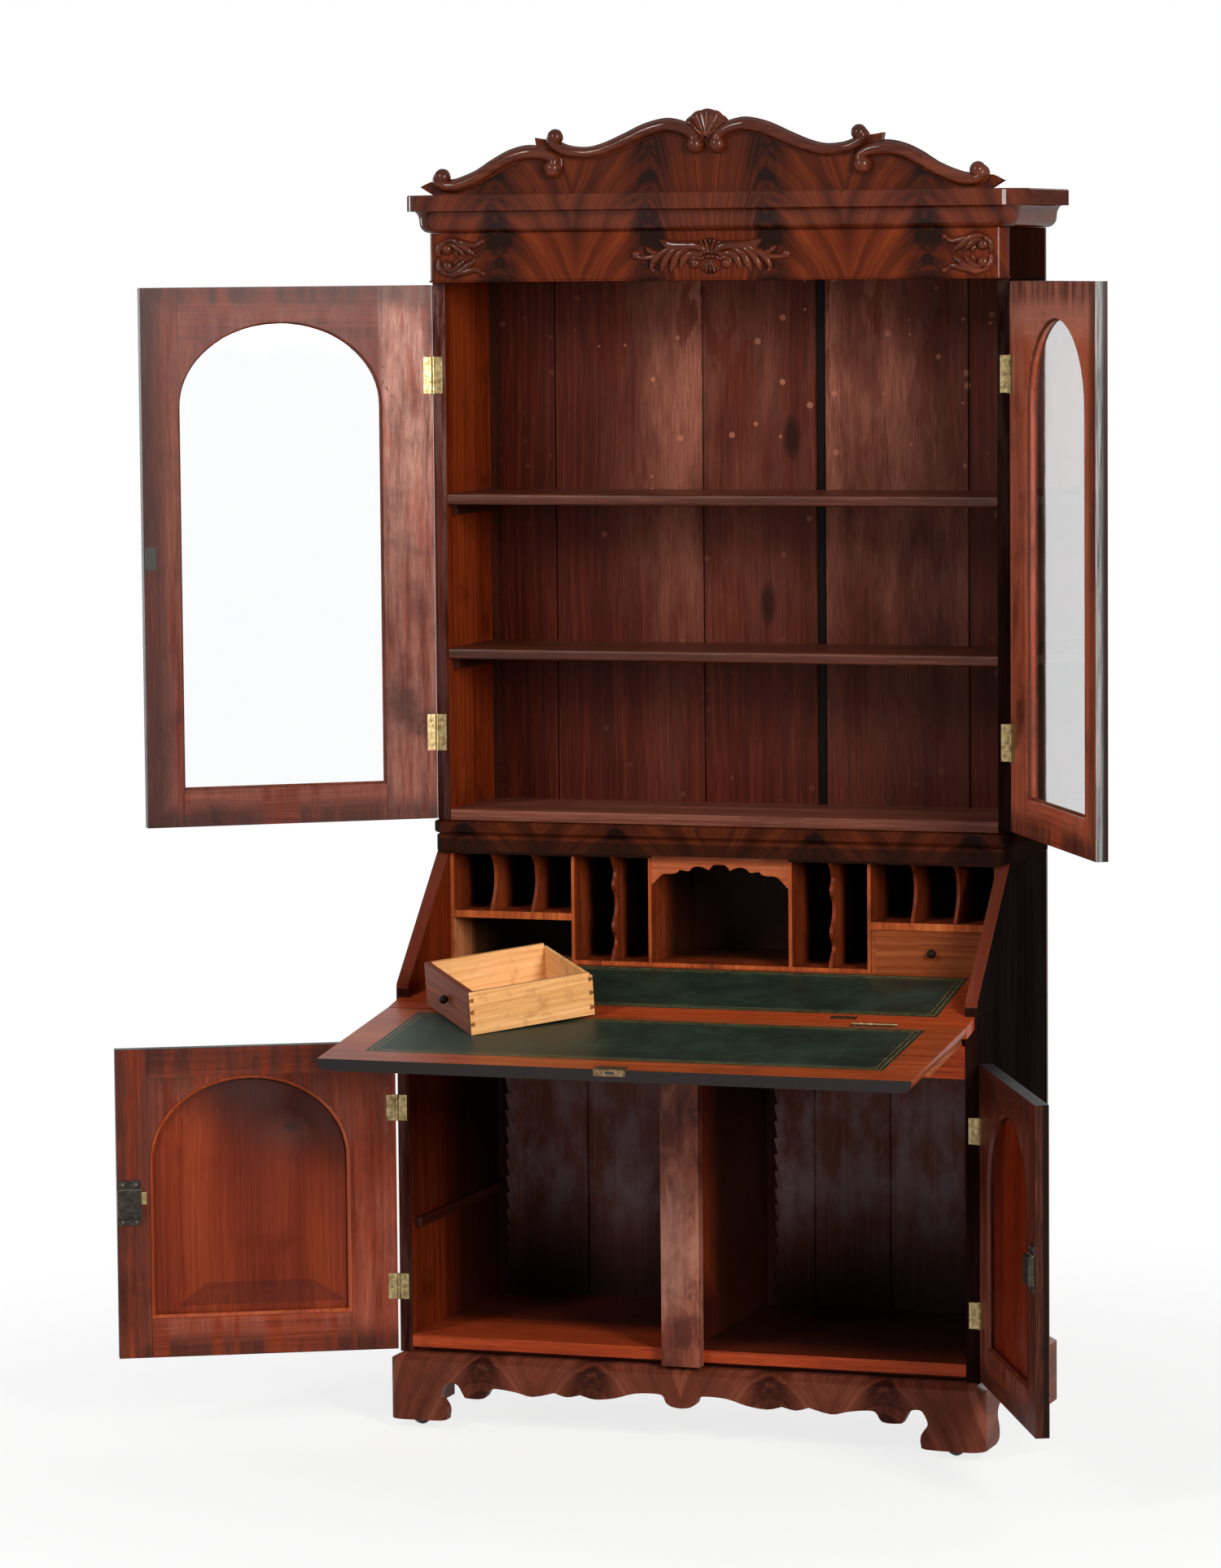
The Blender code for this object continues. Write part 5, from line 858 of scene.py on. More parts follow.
def reshaped(name, radius, wanted):
    """A CAD node drawn again with some edges rounded and its curves shaded smoothly."""
    node = NODES[name]
    bm = bmesh.new()
    bm.from_mesh(node.data)
    bm.transform(Matrix.Translation((-CASE_X, -CASE_Y, 0)) @ node.matrix_world)
    bmesh.ops.remove_doubles(bm, verts=bm.verts, dist=0.00001)
    bmesh.ops.dissolve_limit(bm, angle_limit=radians(0.5), verts=bm.verts, edges=bm.edges)
    edges = [edge for edge in bm.edges if wanted(edge.verts[0].co, edge.verts[1].co)]
    bmesh.ops.bevel(bm, geom=edges, offset=radius, segments=6, profile=0.5, affect="EDGES",
                    clamp_overlap=True)
    bm.verts.index_update()
    shape = Shape([vert.co.copy() for vert in bm.verts],
                  [[vert.index for vert in face.verts] for face in bm.faces])
    obj = piece(name + "_shaped", shape, node.data.materials[0], "case", True,
                replaced=(name,))
    bm.free()
    obj.data.set_sharp_from_angle(angle=radians(35))
    return obj


def rounded_stack(name, steps=20):
    """A CAD node made of level plans drawn again with finer arcs at its two front corners."""
    node = NODES[name]
    shift = Matrix.Translation((-CASE_X, -CASE_Y, 0)) @ node.matrix_world
    points = {tuple(round(value, 5) for value in shift @ vert.co) for vert in node.data.vertices}
    rear = max(y for _, y, _ in points)
    plans = []
    for height in sorted({z for _, _, z in points}):
        walls = sorted({x for x, y, z in points if z == height and y == rear and x > 0})
        for half in walls:
            front = min(y for x, y, z in points if z == height and abs(x) <= half + 0.00002)
            reach = max(x for x, y, z in points if z == height and abs(y - front) < 0.00002)
            plans.append((half, front, half - reach, height))
    rings = []
    for half, front, radius, height in plans:
        arc = [(half - radius + radius * sin(pi / 2 * step / steps),
                front + radius - radius * cos(pi / 2 * step / steps)) for step in range(steps + 1)]
        line = [(-x, y) for x, y in reversed(arc)] + arc
        rings.append([(-half, rear, height)] + [(x, y, height) for x, y in line] + [(half, rear, height)])
    shape = Shape().loops(rings)
    obj = piece(name + "_shaped", shape, node.data.materials[0], "case", True,
                replaced=(name,))
    obj.data.set_sharp_from_angle(angle=radians(25))
    even = obj.modifiers.new("even", "WEIGHTED_NORMAL")
    even.keep_sharp = True
    return obj


def shelf_nose(first, second):
    """A long edge along a shelf's front."""
    return abs(first.x - second.x) > 0.5 and first.y < -0.15


def rounded(obj, width, segments=2):
    """Rounded edges on a piece."""
    bevel = obj.modifiers.new("rounded", "BEVEL")
    bevel.width = width
    bevel.segments = segments
    bevel.limit_method = "ANGLE"
    bevel.angle_limit = radians(35)
    return obj


def circle(radius, steps):
    """Points round a centre."""
    angles = [2 * pi * step / steps for step in range(steps)]
    return [(radius * cos(angle), radius * sin(angle)) for angle in angles]


class Shape:
    """Points and faces gathered for one mesh."""

    def __init__(self, verts=(), faces=()):
        self.verts, self.faces = list(verts), list(faces)

    def slab(self, low, high):
        """A board between two corners."""
        start = len(self.verts)
        for index in range(8):
            self.verts.append(tuple((high if index >> axis & 1 else low)[axis] for axis in range(3)))
        for face in ((0, 2, 3, 1), (4, 5, 7, 6), (0, 1, 5, 4), (2, 6, 7, 3), (0, 4, 6, 2), (1, 3, 7, 5)):
            self.faces.append(tuple(start + corner for corner in face))
        return self

    def loops(self, rings, closed=True):
        """Rings of as many points each, joined in order and capped at both ends."""
        start = len(self.verts)
        count = len(rings[0])
        for ring in rings:
            self.verts += [tuple(point) for point in ring]
        for index in range(len(rings) - 1):
            for step in range(count if closed else count - 1):
                a = start + index * count + step
                b = start + index * count + (step + 1) % count
                self.faces.append((a, b, b + count, a + count))
        if closed:
            self.faces.append(tuple(start + step for step in reversed(range(count))))
            last = start + (len(rings) - 1) * count
            self.faces.append(tuple(last + step for step in range(count)))
        return self

    def tube(self, rings):
        """Rings of as many points each, joined in order and the last to the first."""
        start, total, count = len(self.verts), len(rings), len(rings[0])
        for ring in rings:
            self.verts += ring
        for index in range(total):
            here, beyond = start + index * count, start + (index + 1) % total * count
            for step in range(count):
                ahead = (step + 1) % count
                self.faces.append((here + step, here + ahead, beyond + ahead, beyond + step))
        return self

    def disc(self, centre, axis, radius, height, steps):
        """A low round head standing along an axis from its centre."""
        axis = Vector(axis).normalized()
        side = axis.orthogonal().normalized()
        other = axis.cross(side)
        rings = []
        for share, lift in ((1.0, 0.0), (1.0, 0.55), (0.86, 0.88), (0.5, 1.0)):
            rings.append([Vector(centre) + axis * height * lift + side * u + other * v
                          for u, v in circle(radius * share, steps)])
        return self.loops(rings)

    def ridge(self, path, at, steps=5, sections=8):
        """A carved stroke on a plane y = at: stations of x, z, half width and height."""
        stations = smooth_path(path, steps)
        rings = []
        for index, (x, z, half, height) in enumerate(stations):
            before, after = stations[max(index - 1, 0)], stations[min(index + 1, len(stations) - 1)]
            run = Vector((after[0] - before[0], after[1] - before[1]))
            run = run.normalized() if run.length else Vector((1, 0))
            across = Vector((-run.y, run.x))
            ring = []
            for section in range(sections + 1):
                angle = pi * section / sections
                off = across * half * cos(angle)
                ring.append((x + off.x, at - height * sin(angle) ** 0.8, z + off.y))
            rings.append(ring)
        return self.loops(rings)

    def boss(self, x, z, radius, height, at, steps=18, rings_count=6):
        """A round boss on a plane y = at."""
        rings = []
        for index in range(rings_count + 1):
            angle = pi / 2 * index / rings_count
            reach = radius * cos(angle) if index < rings_count else radius * 0.04
            rings.append([(x + u, at - height * sin(angle), z + v) for u, v in circle(reach, steps)])
        return self.loops(rings)


def smooth_path(points, steps):
    """Stations along a Catmull-Rom line."""
    dense = []
    last = len(points) - 1
    vectors = [Vector(point) for point in points]
    for index in range(last):
        start, end = vectors[index], vectors[index + 1]
        before, after = vectors[max(index - 1, 0)], vectors[min(index + 2, last)]
        for step in range(steps):
            t = step / steps
            dense.append(0.5 * (2 * start + (end - before) * t + (2 * before - 5 * start + 4 * end - after)
                                * t ** 2 + (3 * start - before - 3 * end + after) * t ** 3))
    dense.append(vectors[-1])
    return dense


# Carvings of the frieze

FRIEZE_Y = -0.2748
FRIEZE_Z = 2.021
# Strokes of the middle carving's right half: x, z, half width and height in millimetres
MIDDLE_STROKES = (
    ((8, 4, 2.5, 5), (14, 12, 4.5, 8), (27, 17, 5.0, 8), (45, 17, 5.0, 7), (66, 17, 5.5, 6),
     (80, 21, 4.5, 5), (92, 26, 0.8, 2)),
    ((12, 8, 2.0, 4), (20, 2, 3.5, 6), (32, 4, 4.0, 7), (42, 0, 4.5, 7), (50, -10, 4.0, 6),
     (54, -24, 0.8, 2)),
    ((34, 12, 2.0, 4), (48, 9, 3.5, 6), (60, 0, 4.0, 7), (66, -12, 4.2, 6), (72, -27, 1.0, 2)),
    ((50, 15, 2.0, 4), (66, 9, 3.5, 6), (78, -2, 4.0, 6), (85, -14, 3.5, 5), (89, -26, 0.8, 2)),
    ((60, 17, 2.0, 4), (78, 10, 3.2, 6), (92, 2, 4.0, 6), (102, -8, 3.6, 6),
     (107, -22, 1.5, 4), (103, -27, 0.8, 2)),
    ((80, 6, 2.0, 4), (98, 0, 3.0, 5), (114, -3, 3.0, 5), (128, -2, 2.6, 5), (137, 2, 2.0, 4)),
    ((92, 3, 1.8, 4), (104, 6, 2.6, 5), (112, 11, 3.0, 6), (117, 17, 0.8, 2)),
    ((11, -2, 1.6, 3), (17, -6, 2.2, 4), (24, -3, 2.4, 5), (33, -5, 2.4, 5), (37, -12, 1.8, 4)),
)
MIDDLE_BOSSES = ((28, -13, 9.5, 9), (135, 2, 9.0, 8), (104, -25, 3.5, 4))
SHELL_UP = ((0, 30, 5.0, 10), (9.5, 29, 4.6, 9.5), (18, 25, 4.2, 8), (24, 18, 3.2, 6))
SHELL_DOWN = ((0, -31, 4.8, 9), (8.5, -29, 4.2, 8), (15, -25, 3.2, 6))
# Strokes of a corner carving's upper half, from its bosses inwards
CORNER_STROKES = (
    ((0, 24, 2.0, 4), (-9, 19, 3.4, 6), (-14, 11, 3.0, 5), (-14, 2, 1.4, 3)),
    ((0, 24, 2.2, 4), (14, 24, 4.2, 7), (30, 17, 4.2, 7), (42, 9, 3.4, 6), (50, 3, 1.0, 2)),
    ((2, 19, 1.8, 4), (14, 17, 3.2, 6), (26, 9, 3.2, 6), (34, 2, 1.0, 2)),
    ((10, 24, 1.8, 4), (26, 22, 3.0, 6), (40, 19, 3.4, 6), (54, 17, 3.0, 5), (64, 22, 1.8, 4)),
    ((12, 10, 1.5, 3), (17, 6, 2.6, 5), (19, 1, 1.2, 3)),
    ((36, 14, 1.6, 4), (46, 8, 2.6, 5), (53, 2, 0.8, 2)),
)
CORNER_BOSSES = ((0, 12.0, 10.6, 9), (67, 23, 5.4, 7))
# How much wider and higher than drawn the strokes stand, and the corner carvings' place in millimetres
LEAF_WIDTH, LEAF_HEIGHT = 1.75, 1.45
CORNER_MIDDLE, CORNER_RISE = 481.5, 1.22


def carve(shape, strokes, bosses, middle, side, rise=1.0):
    """Add one half of a carving: side mirrors it across, and a negative rise upside down."""
    for stroke in strokes:
        shape.ridge([((middle + side * x) / 1000, FRIEZE_Z + rise * z / 1000, half * LEAF_WIDTH / 1000,
                      height * LEAF_HEIGHT / 1000) for x, z, half, height in stroke], FRIEZE_Y)
    for x, z, radius, height in bosses:
        shape.boss((middle + side * x) / 1000, FRIEZE_Z + rise * z / 1000, radius / 1000, height / 1000,
                   FRIEZE_Y)


def make_carvings(material):
    """Shell and leaves in the middle of the frieze, and leaves at its ends."""
    shape = Shape()
    for side in (-1, 1):
        carve(shape, MIDDLE_STROKES, MIDDLE_BOSSES, 0, side)
        for lobes in (SHELL_UP, SHELL_DOWN):
            for x, z, half, height in lobes:
                foot = 1.5 if z > 0 else -4.5
                shape.ridge([(side * x * share / 1000, FRIEZE_Z + (foot + (z - foot) * share) / 1000,
                              (1.4 + (half - 1.4) * share ** 0.8) / 1000, height * tall / 1000)
                             for share, tall in ((0.12, 0.75), (0.4, 0.9), (0.75, 1.0), (0.95, 0.85),
                                                 (1.0, 0.25))], FRIEZE_Y)
    shape.ridge([(x / 1000, FRIEZE_Z - 0.0015, half / 1000, height / 1000)
                 for x, half, height in ((-10, 1.0, 4), (-6, 3.2, 8), (0, 3.8, 9), (6, 3.2, 8),
                                         (10, 1.0, 4))], FRIEZE_Y)
    piece("frieze_carving_middle", shape, material, "case", True)
    for label, side in (("left", 1), ("right", -1)):
        shape = Shape()
        for sign in (-1, 1):
            carve(shape, CORNER_STROKES, CORNER_BOSSES, -side * CORNER_MIDDLE, side, sign * CORNER_RISE)
        piece(f"frieze_carving_{label}", shape, material, "case", True)


# Centre lines of the crest's mouldings: shares of its reach, its height and its greatest radius
INNER_SCROLL = (
    (0.042, 0.699, 0.92), (0.045, 0.821, 0.76), (0.074, 0.913, 0.78), (0.116, 0.970, 0.81),
    (0.158, 0.978, 0.84), (0.226, 0.908, 0.84), (0.303, 0.769, 0.81), (0.380, 0.648, 0.74),
    (0.442, 0.594, 0.71), (0.503, 0.610, 0.69), (0.542, 0.655, 0.69), (0.571, 0.725, 0.69),
    (0.579, 0.795, 0.72), (0.566, 0.838, 0.83),
)
OUTER_SCROLL = (
    (0.577, 0.373, 0.98), (0.571, 0.485, 0.82), (0.589, 0.555, 0.81), (0.619, 0.593, 0.84),
    (0.673, 0.608, 0.89), (0.735, 0.549, 0.86), (0.798, 0.419, 0.84), (0.861, 0.268, 0.79),
    (0.923, 0.165, 0.79), (0.962, 0.134, 0.76), (0.998, 0.154, 0.76), (1.013, 0.225, 0.79),
    (0.998, 0.270, 0.86),
)
CREST_REACH, CREST_HEIGHT, CREST_RADIUS = 0.4805, 0.1155, 0.0158
CREST_FOOT, CREST_BED = 2.129, -0.2925


def make_crest_mouldings(material):
    """The crest's scrolled mouldings: a step, a round back and ball ends."""
    lift = 0.0057
    profile = [(1.0, 0.0), (1.0, 0.22), (0.88, 0.27)]
    profile += [(0.82 * cos(pi * step / 12), 0.34 + 0.66 * sin(pi * step / 12)) for step in range(13)]
    profile += [(-0.88, 0.27), (-1.0, 0.22), (-1.0, 0.0)]
    for label, side in (("left", -1), ("right", 1)):
        shape = Shape()
        for shares in (INNER_SCROLL, OUTER_SCROLL):
            stations = smooth_path([(side * CREST_REACH * u, CREST_FOOT + CREST_HEIGHT * v, CREST_RADIUS * w)
                                    for u, v, w in shares], 6)
            rings = []
            for index, (x, z, radius) in enumerate(stations):
                before, after = stations[max(index - 1, 0)], stations[min(index + 1, len(stations) - 1)]
                run = Vector((after[0] - before[0], after[1] - before[1])).normalized()
                tall = radius + lift
                rings.append([(x - run.y * radius * u, CREST_BED - tall * v, z + run.x * radius * u)
                              for u, v in profile])
            shape.loops(rings)
            for x, z, radius in (stations[0], stations[-1]):
                ball = radius * 1.07
                low = -asin(lift / ball)
                rings = []
                for step in range(9):
                    angle = low + (pi / 2 - low) * step / 8
                    reach = max(ball * cos(angle), 0.0004)
                    rings.append([(x + u, CREST_BED - lift - ball * sin(angle), z + v)
                                  for u, v in circle(reach, 24)])
                shape.loops(rings)
        piece(f"crest_scrolls_{label}", shape, material, "case", True,
              replaced=(f"crest_moulding_{label}",))


def make_crest_fan(material):
    """The fluted front of the crest's shell: hollow flutes between sharp ridges."""
    foot, half, rise, front = 2.2215, 0.0476, 0.0489, -0.2910
    flutes, per_flute, rows = 7, 6, 8
    count = flutes * per_flute
    rings = []
    for row in range(rows + 1):
        share = 0.05 + 0.95 * row / rows
        ring = []
        for step in range(count + 1):
            angle = pi * step / count
            hollow = abs(sin(flutes * angle))
            reach = 1 - 0.03 * (1 - hollow)
            lift = 0.0105 - 0.0030 * share - 0.0038 * share ** 0.6 * hollow if row < rows else 0.0
            ring.append((half * share * reach * cos(angle), front - lift,
                         foot + rise * share * reach * sin(angle)))
        rings.append(ring)
    shape = Shape().loops(rings, closed=False)
    fan = piece("crest_fan", shape, material, "case")
    fan.data.shade_smooth()
    fan.data.set_sharp_from_angle(angle=radians(24))
    return fan


# Fittings

def door_frame_of(place, heading, side):
    """A door's own frame: x from its hinge, y out of its back face, z up."""
    along = Vector((cos(heading), sin(heading), 0))
    out = Vector((sin(heading), -cos(heading), 0)) * (-1 if side == "left" else 1)
    return from_columns((along, out, Vector((0, 0, 1)), place))


# How far a hinge leaf stands out of the case and where its inner edge is, and the screws in it
LEAF_PROUD, LEAF_INNER = 0.00010, 0.5029
SCREW_RADIUS, SCREW_HEIGHT = 0.0026, 0.00009
RIM_RADIUS, RIM_HEIGHT = 0.0032, 0.00004
KNUCKLE_RADIUS = 0.00312


def screws(shape, places, axis, radius=SCREW_RADIUS, height=SCREW_HEIGHT):
    """Flat screw heads."""
    for place in places:
        shape.disc(place, axis, radius, height, 12)


def slots(shape, places, normal, along, radius=0.0023):
    """The dark slots of screw heads."""
    normal, along = Vector(normal), Vector(along)
    across = normal.cross(along)
    for index, place in enumerate(places):
        turn = 0.5 + 1.1 * index
        run = along * cos(turn) + across * sin(turn)
        wide = normal.cross(run) * 0.00040
        start = Vector(place) + normal * (SCREW_HEIGHT - 0.00001)
        ring = [start - run * radius - wide, start + run * radius - wide, start + run * radius + wide,
                start - run * radius + wide]
        shape.loops([ring, [point + normal * 0.00004 for point in ring]])


def screw_shapes(places, axis):
    """Screw heads, and the dark slots and rims in and round them."""
    heads, cuts = Shape(), Shape()
    screws(heads, places, axis)
    slots(cuts, places, axis, (1, 0, 0))
    screws(cuts, places, axis, RIM_RADIUS, RIM_HEIGHT)
    return heads, cuts


def make_hinge_details(brass, dark):
    """Leaves on the case, screws in both leaves, and the joints between knuckles."""
    for storey, side, (place, heading) in DOORS:
        sign = -1 if side == "left" else 1
        front = {"upper": -UPPER_DEPTH, "lower": -LOWER_DEPTH}[storey]
        frame_of = door_frame_of(place, heading, side)
        for position in ("high", "low"):
            low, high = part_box(f"{storey}_hinge_{side}_{position}")
            bottom, top = low.z + 0.0006, high.z - 0.0006
            tall = top - bottom
            levels = [bottom + tall * share for share in (0.15, 0.5, 0.85)]
            edges = sorted((sign * CASE_HALF, sign * LEAF_INNER))
            places = [(sign * (0.51 + 0.0012 * (index == 1)), front - LEAF_PROUD, z)
                      for index, z in enumerate(levels)]
            leaf, cuts = screw_shapes(places, (0, -1, 0))
            leaf.slab((edges[0], front - LEAF_PROUD, bottom), (edges[1], front + 0.0005, top))
            piece(f"case_leaf_{storey}_{side}_{position}", leaf, brass, "case")
            piece(f"case_leaf_slots_{storey}_{side}_{position}", cuts, dark, "case")
            places = [(0.0098 + 0.0012 * (index == 1), -0.0003, z) for index, z in enumerate(levels)]
            heads, cuts = screw_shapes(places, (0, 1, 0))
            body = f"{storey}_door_{side}"
            piece(f"door_leaf_screws_{storey}_{side}_{position}", heads, brass, body,
                  frame_of=frame_of)
            for share in (0.2, 0.4, 0.6, 0.8):
                z = bottom + tall * share
                cuts.loops([[(u, v, z + lift) for u, v in circle(KNUCKLE_RADIUS, 14)]
                            for lift in (-0.00025, 0.00025)])
            piece(f"knuckle_joints_{storey}_{side}_{position}", cuts, dark, body, frame_of=frame_of)


def make_rim_locks(iron, dark, brass):
    """The cupboard's rim locks: a plate with flanges, a raised case and a small brass bolt."""
    for side, (place, heading) in (("left", LOWER_LEFT), ("right", LOWER_RIGHT)):
        frame_of = door_frame_of(place, heading, side)
        low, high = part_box(f"rim_lock_{side}")
        far, back = LOWER_DOOR_WIDTH, 0.0003
        near = far - 0.041
        roof, floor = high.z - 0.0175, low.z + 0.0140
        shape = Shape().slab((near + 0.001, back, low.z), (far, back + 0.0018, high.z))
        shape.slab((near, back, floor), (far, back + 0.0112, roof))
        shape.slab((near + 0.003, back + 0.0108, floor + 0.003), (far - 0.003, back + 0.0117, roof - 0.003))
        lock = piece(f"rim_lock_body_{side}", shape, iron, f"lower_door_{side}", frame_of=frame_of,
                     replaced=(f"rim_lock_{side}",))
        rounded(lock, 0.0009)
        shape = Shape()
        for x in (near + 0.009, far - 0.009):
            shape.disc((x, back + 0.0018, high.z - 0.0075), (0, 1, 0), 0.0028, 0.0010, 12)
            shape.disc((x, back + 0.0018, low.z + 0.0065), (0, 1, 0), 0.0024, 0.0008, 12)
        shape.slab((near - 0.0006, back + 0.0018, roof), (far - 0.0004, back + 0.0052, roof + 0.0016))
        piece(f"rim_lock_trim_{side}", shape, dark, f"lower_door_{side}", frame_of=frame_of)
        shape = Shape().slab((near - 0.0092, back, roof - 0.025),
                             (near + 0.0005, back + 0.0034, roof - 0.0035))
        rounded(piece(f"rim_lock_bolt_{side}", shape, brass, f"lower_door_{side}",
                      frame_of=frame_of), 0.0006)


def make_case_fittings(brass, iron, dark):
    """Lock plates of the fall and the upper doors, and the fall hinges' fixed leaves."""
    line = Matrix.Translation(HINGE_POINT)
    hinge = line @ Matrix.Rotation(FALL_SLOPE, 4, "X")
    slope = line @ Matrix.Rotation(BED_SLOPE, 4, "X")
    plate = Shape()
    edge = -0.3364
    plate.slab((-0.0275, edge - 0.0004, -0.0115), (0.0275, edge + 0.0003, 0.0002))
    plate.slab((-0.0275, edge - 0.0004, -0.0002), (0.0275, edge + 0.0205, 0.00035))
    piece("fall_lock_plate", plate, brass, "fall", frame_of=hinge)
    marks = Shape().slab((-0.008, edge - 0.0006, -0.0075), (0.008, edge - 0.0003, -0.0035))
    for x in (-0.021, 0.021):
        marks.disc((x, edge + 0.012, 0.00035), (0, 0, 1), 0.0022, 0.00015, 10)
    piece("fall_lock_marks", marks, dark, "fall", frame_of=hinge)
    for label, sign in (("left", -1), ("right", 1)):
        heads = Shape()
        screws(heads, [(sign * 0.356 + off, -0.009, -0.0002) for off in (-0.027, 0, 0.027)], (0, 0, 1),
               0.0026, 0.00035)
        piece(f"fall_leaf_screws_{label}", heads, dark, "fall", frame_of=hinge)
        leaf = Shape()
        edges = sorted((sign * 0.271, sign * 0.317))
        leaf.slab((edges[0], 0.020, -0.0010), (edges[1], 0.0355, 0.00025))
        screws(leaf, [(edges[0] + 0.009 + 0.014 * index, 0.028, 0.00025) for index in range(3)], (0, 0, 1),
               0.0023)
        piece(f"bed_leaf_{label}", leaf, brass, "case", frame_of=slope)
    place, heading = UPPER_RIGHT
    frame_of = door_frame_of(place, heading, "right")
    plate = Shape().slab((0.518, -0.0175, 1.476), (0.5186, -0.0065, 1.543))
    piece("upper_lock_plate", plate, iron, "upper_door_right", frame_of=frame_of)
    place, heading = UPPER_LEFT
    frame_of = door_frame_of(place, heading, "left")
    plate = Shape().slab((0.497, -0.0006, 1.488), (0.517, 0.0001, 1.528))
    for z in (1.492, 1.500, 1.508, 1.516, 1.524):
        plate.slab((0.502, 0.0000, z - 0.0022), (0.5135, 0.00018, z + 0.0022))
    piece("upper_keeper", plate, dark, "upper_door_left", frame_of=frame_of)


# Joinery

def make_dovetails(material):
    """End grain of the drawers' dovetails, level with their sides."""
    for side in ("left", "right"):
        shape = Shape()
        for sign in (-1, 1):
            x = sign * DRAWER_WIDTH / 2
            for end, length, sizes in ((-1, 0.0085, (0.0042, 0.0024)), (1, 0.0075, (0.0044, 0.0026))):
                y = end * DRAWER_LENGTH / 2
                inner = y - end * length
                rows = (0.24, 0.52, 0.80) if end < 0 else (0.18, 0.52, 0.84)
                for share in rows:
                    z = DRAWER_HEIGHT * share
                    wide, narrow = sizes
                    ring = [(x, y, z - narrow), (x, y, z + narrow), (x, inner, z + wide),
                            (x, inner, z - wide)]
                    shape.loops([[(px + sign * lift, py, pz) for px, py, pz in ring]
                                 for lift in (-0.0002, 0.00012)])
        piece(f"dovetails_{side}", shape, material, f"drawer_{side}",
              frame_of=drawer_matrix(side))


def make_back_boards(material):
    """Upright boards of both backs, with open joints between them."""
    seams = {"bookcase_back": ((-CASE_HALF, *BOARD_EDGES, CASE_HALF), (1.0378, 2.0637), (3,)),
             "desk_back": ((-CASE_HALF, -0.33, -0.19, 0.095, 0.235, CASE_HALF), (0.1308, 0.9857), ())}
    for name, (edges, (bottom, top), sunk) in seams.items():
        shape = Shape().slab((edges[0], -0.0045, bottom), (edges[-1], 0.0, top))
        for index, (left, right) in enumerate(zip(edges, edges[1:])):
            gap = 0.0012
            front = -0.0055 if index in sunk else -0.0100
            low = left if index == 0 else left + gap
            high = right if index == len(edges) - 2 else right - gap
            shape.slab((low, front, bottom), (high, -0.0040, top))
        boards = piece(name + "_boards", shape, material, "case", replaced=(name,))
        rounded(boards, 0.0012, 1)


def make_cupboard_details(material, dark_wood):
    """Toothed posts in the cupboard's rear corners, and the cleat on its left side."""
    shape = Shape()
    low, high, count = 0.1612, 0.640, 16
    pitch = (high - low) / count
    outline = [(0.0, low)]
    for index in range(count):
        z = low + pitch * index
        outline += [(0.0165, z), (0.0095, z + pitch * 0.98)]
    outline += [(0.0165, high), (0.0, high)]
    for x in (-0.497, 0.0103):
        shape.loops([[(x + u, y, z) for u, z in outline] for y in (-0.0230, -0.0104)])
    piece("cupboard_posts", shape, material, "case")
    cleat = Shape().slab((-0.497, -0.445, 0.346), (-0.4855, -0.026, 0.363))
    rounded(piece("cupboard_cleat", cleat, dark_wood, "case"), 0.0012)


def arch_line(left, right, bottom, spring, rise, inset, steps=36):
    """An arched opening's outline in a door's own frame, moved inwards by an inset."""
    left, right, bottom, rise = left + inset, right - inset, bottom + inset, rise - inset
    middle, half = (left + right) / 2, (right - left) / 2
    line = [(left, bottom), (right, bottom)]
    line += [(middle + half * cos(pi * step / steps), spring + rise * sin(pi * step / steps))
             for step in range(steps + 1)]
    return line


def make_door_details(bead_wood, panel_wood):
    """Beads round the doors' openings, and the cupboard doors' dished panels."""
    upper = (0.0912, 0.4544, 1.104, 1.768, 0.146)
    lower = (0.0825, LOWER_DOOR_WIDTH - 0.0565, 0.2031, 0.475, 0.147)
    for storey, side, (place, heading) in DOORS:
        frame_of = door_frame_of(place, heading, side)
        sizes = upper if storey == "upper" else lower
        body = f"{storey}_door_{side}"
        if storey == "lower":
            rings = []
            for inset, depth in ((0.0004, -0.0148), (0.0004, -0.0100), (0.0465, -0.0042), (0.048, -0.0031)):
                rings.append([(u, depth, z) for u, z in arch_line(*sizes, inset)])
            shape = Shape().loops(rings)
            piece(f"lower_panel_{side}", shape, panel_wood[side], body, True,
                  frame_of=frame_of, replaced=(f"lower_door_panel_{side}",))
        depth, thick = (-0.0095, 0.0042) if storey == "upper" else (-0.0031, 0.0055)
        rings = []
        arc_steps = 10
        outline = arch_line(*sizes, 0.0003)
        inner = arch_line(*sizes, thick + 0.0003)
        for share in range(arc_steps + 1):
            angle = pi / 2 * share / arc_steps
            rings.append([(a[0] + (b[0] - a[0]) * (1 - cos(angle)), depth + thick * cos(angle),
                           a[1] + (b[1] - a[1]) * (1 - cos(angle))) for a, b in zip(outline, inner)])
        shape = Shape()
        start = [(a[0], depth - 0.0002, a[1]) for a in outline]
        end = [(b[0], depth - 0.0002, b[1]) for b in inner]
        shape.tube([start] + rings + [end])
        piece(f"{storey}_bead_{side}", shape, bead_wood[storey, side], body, True,
              frame_of=frame_of)


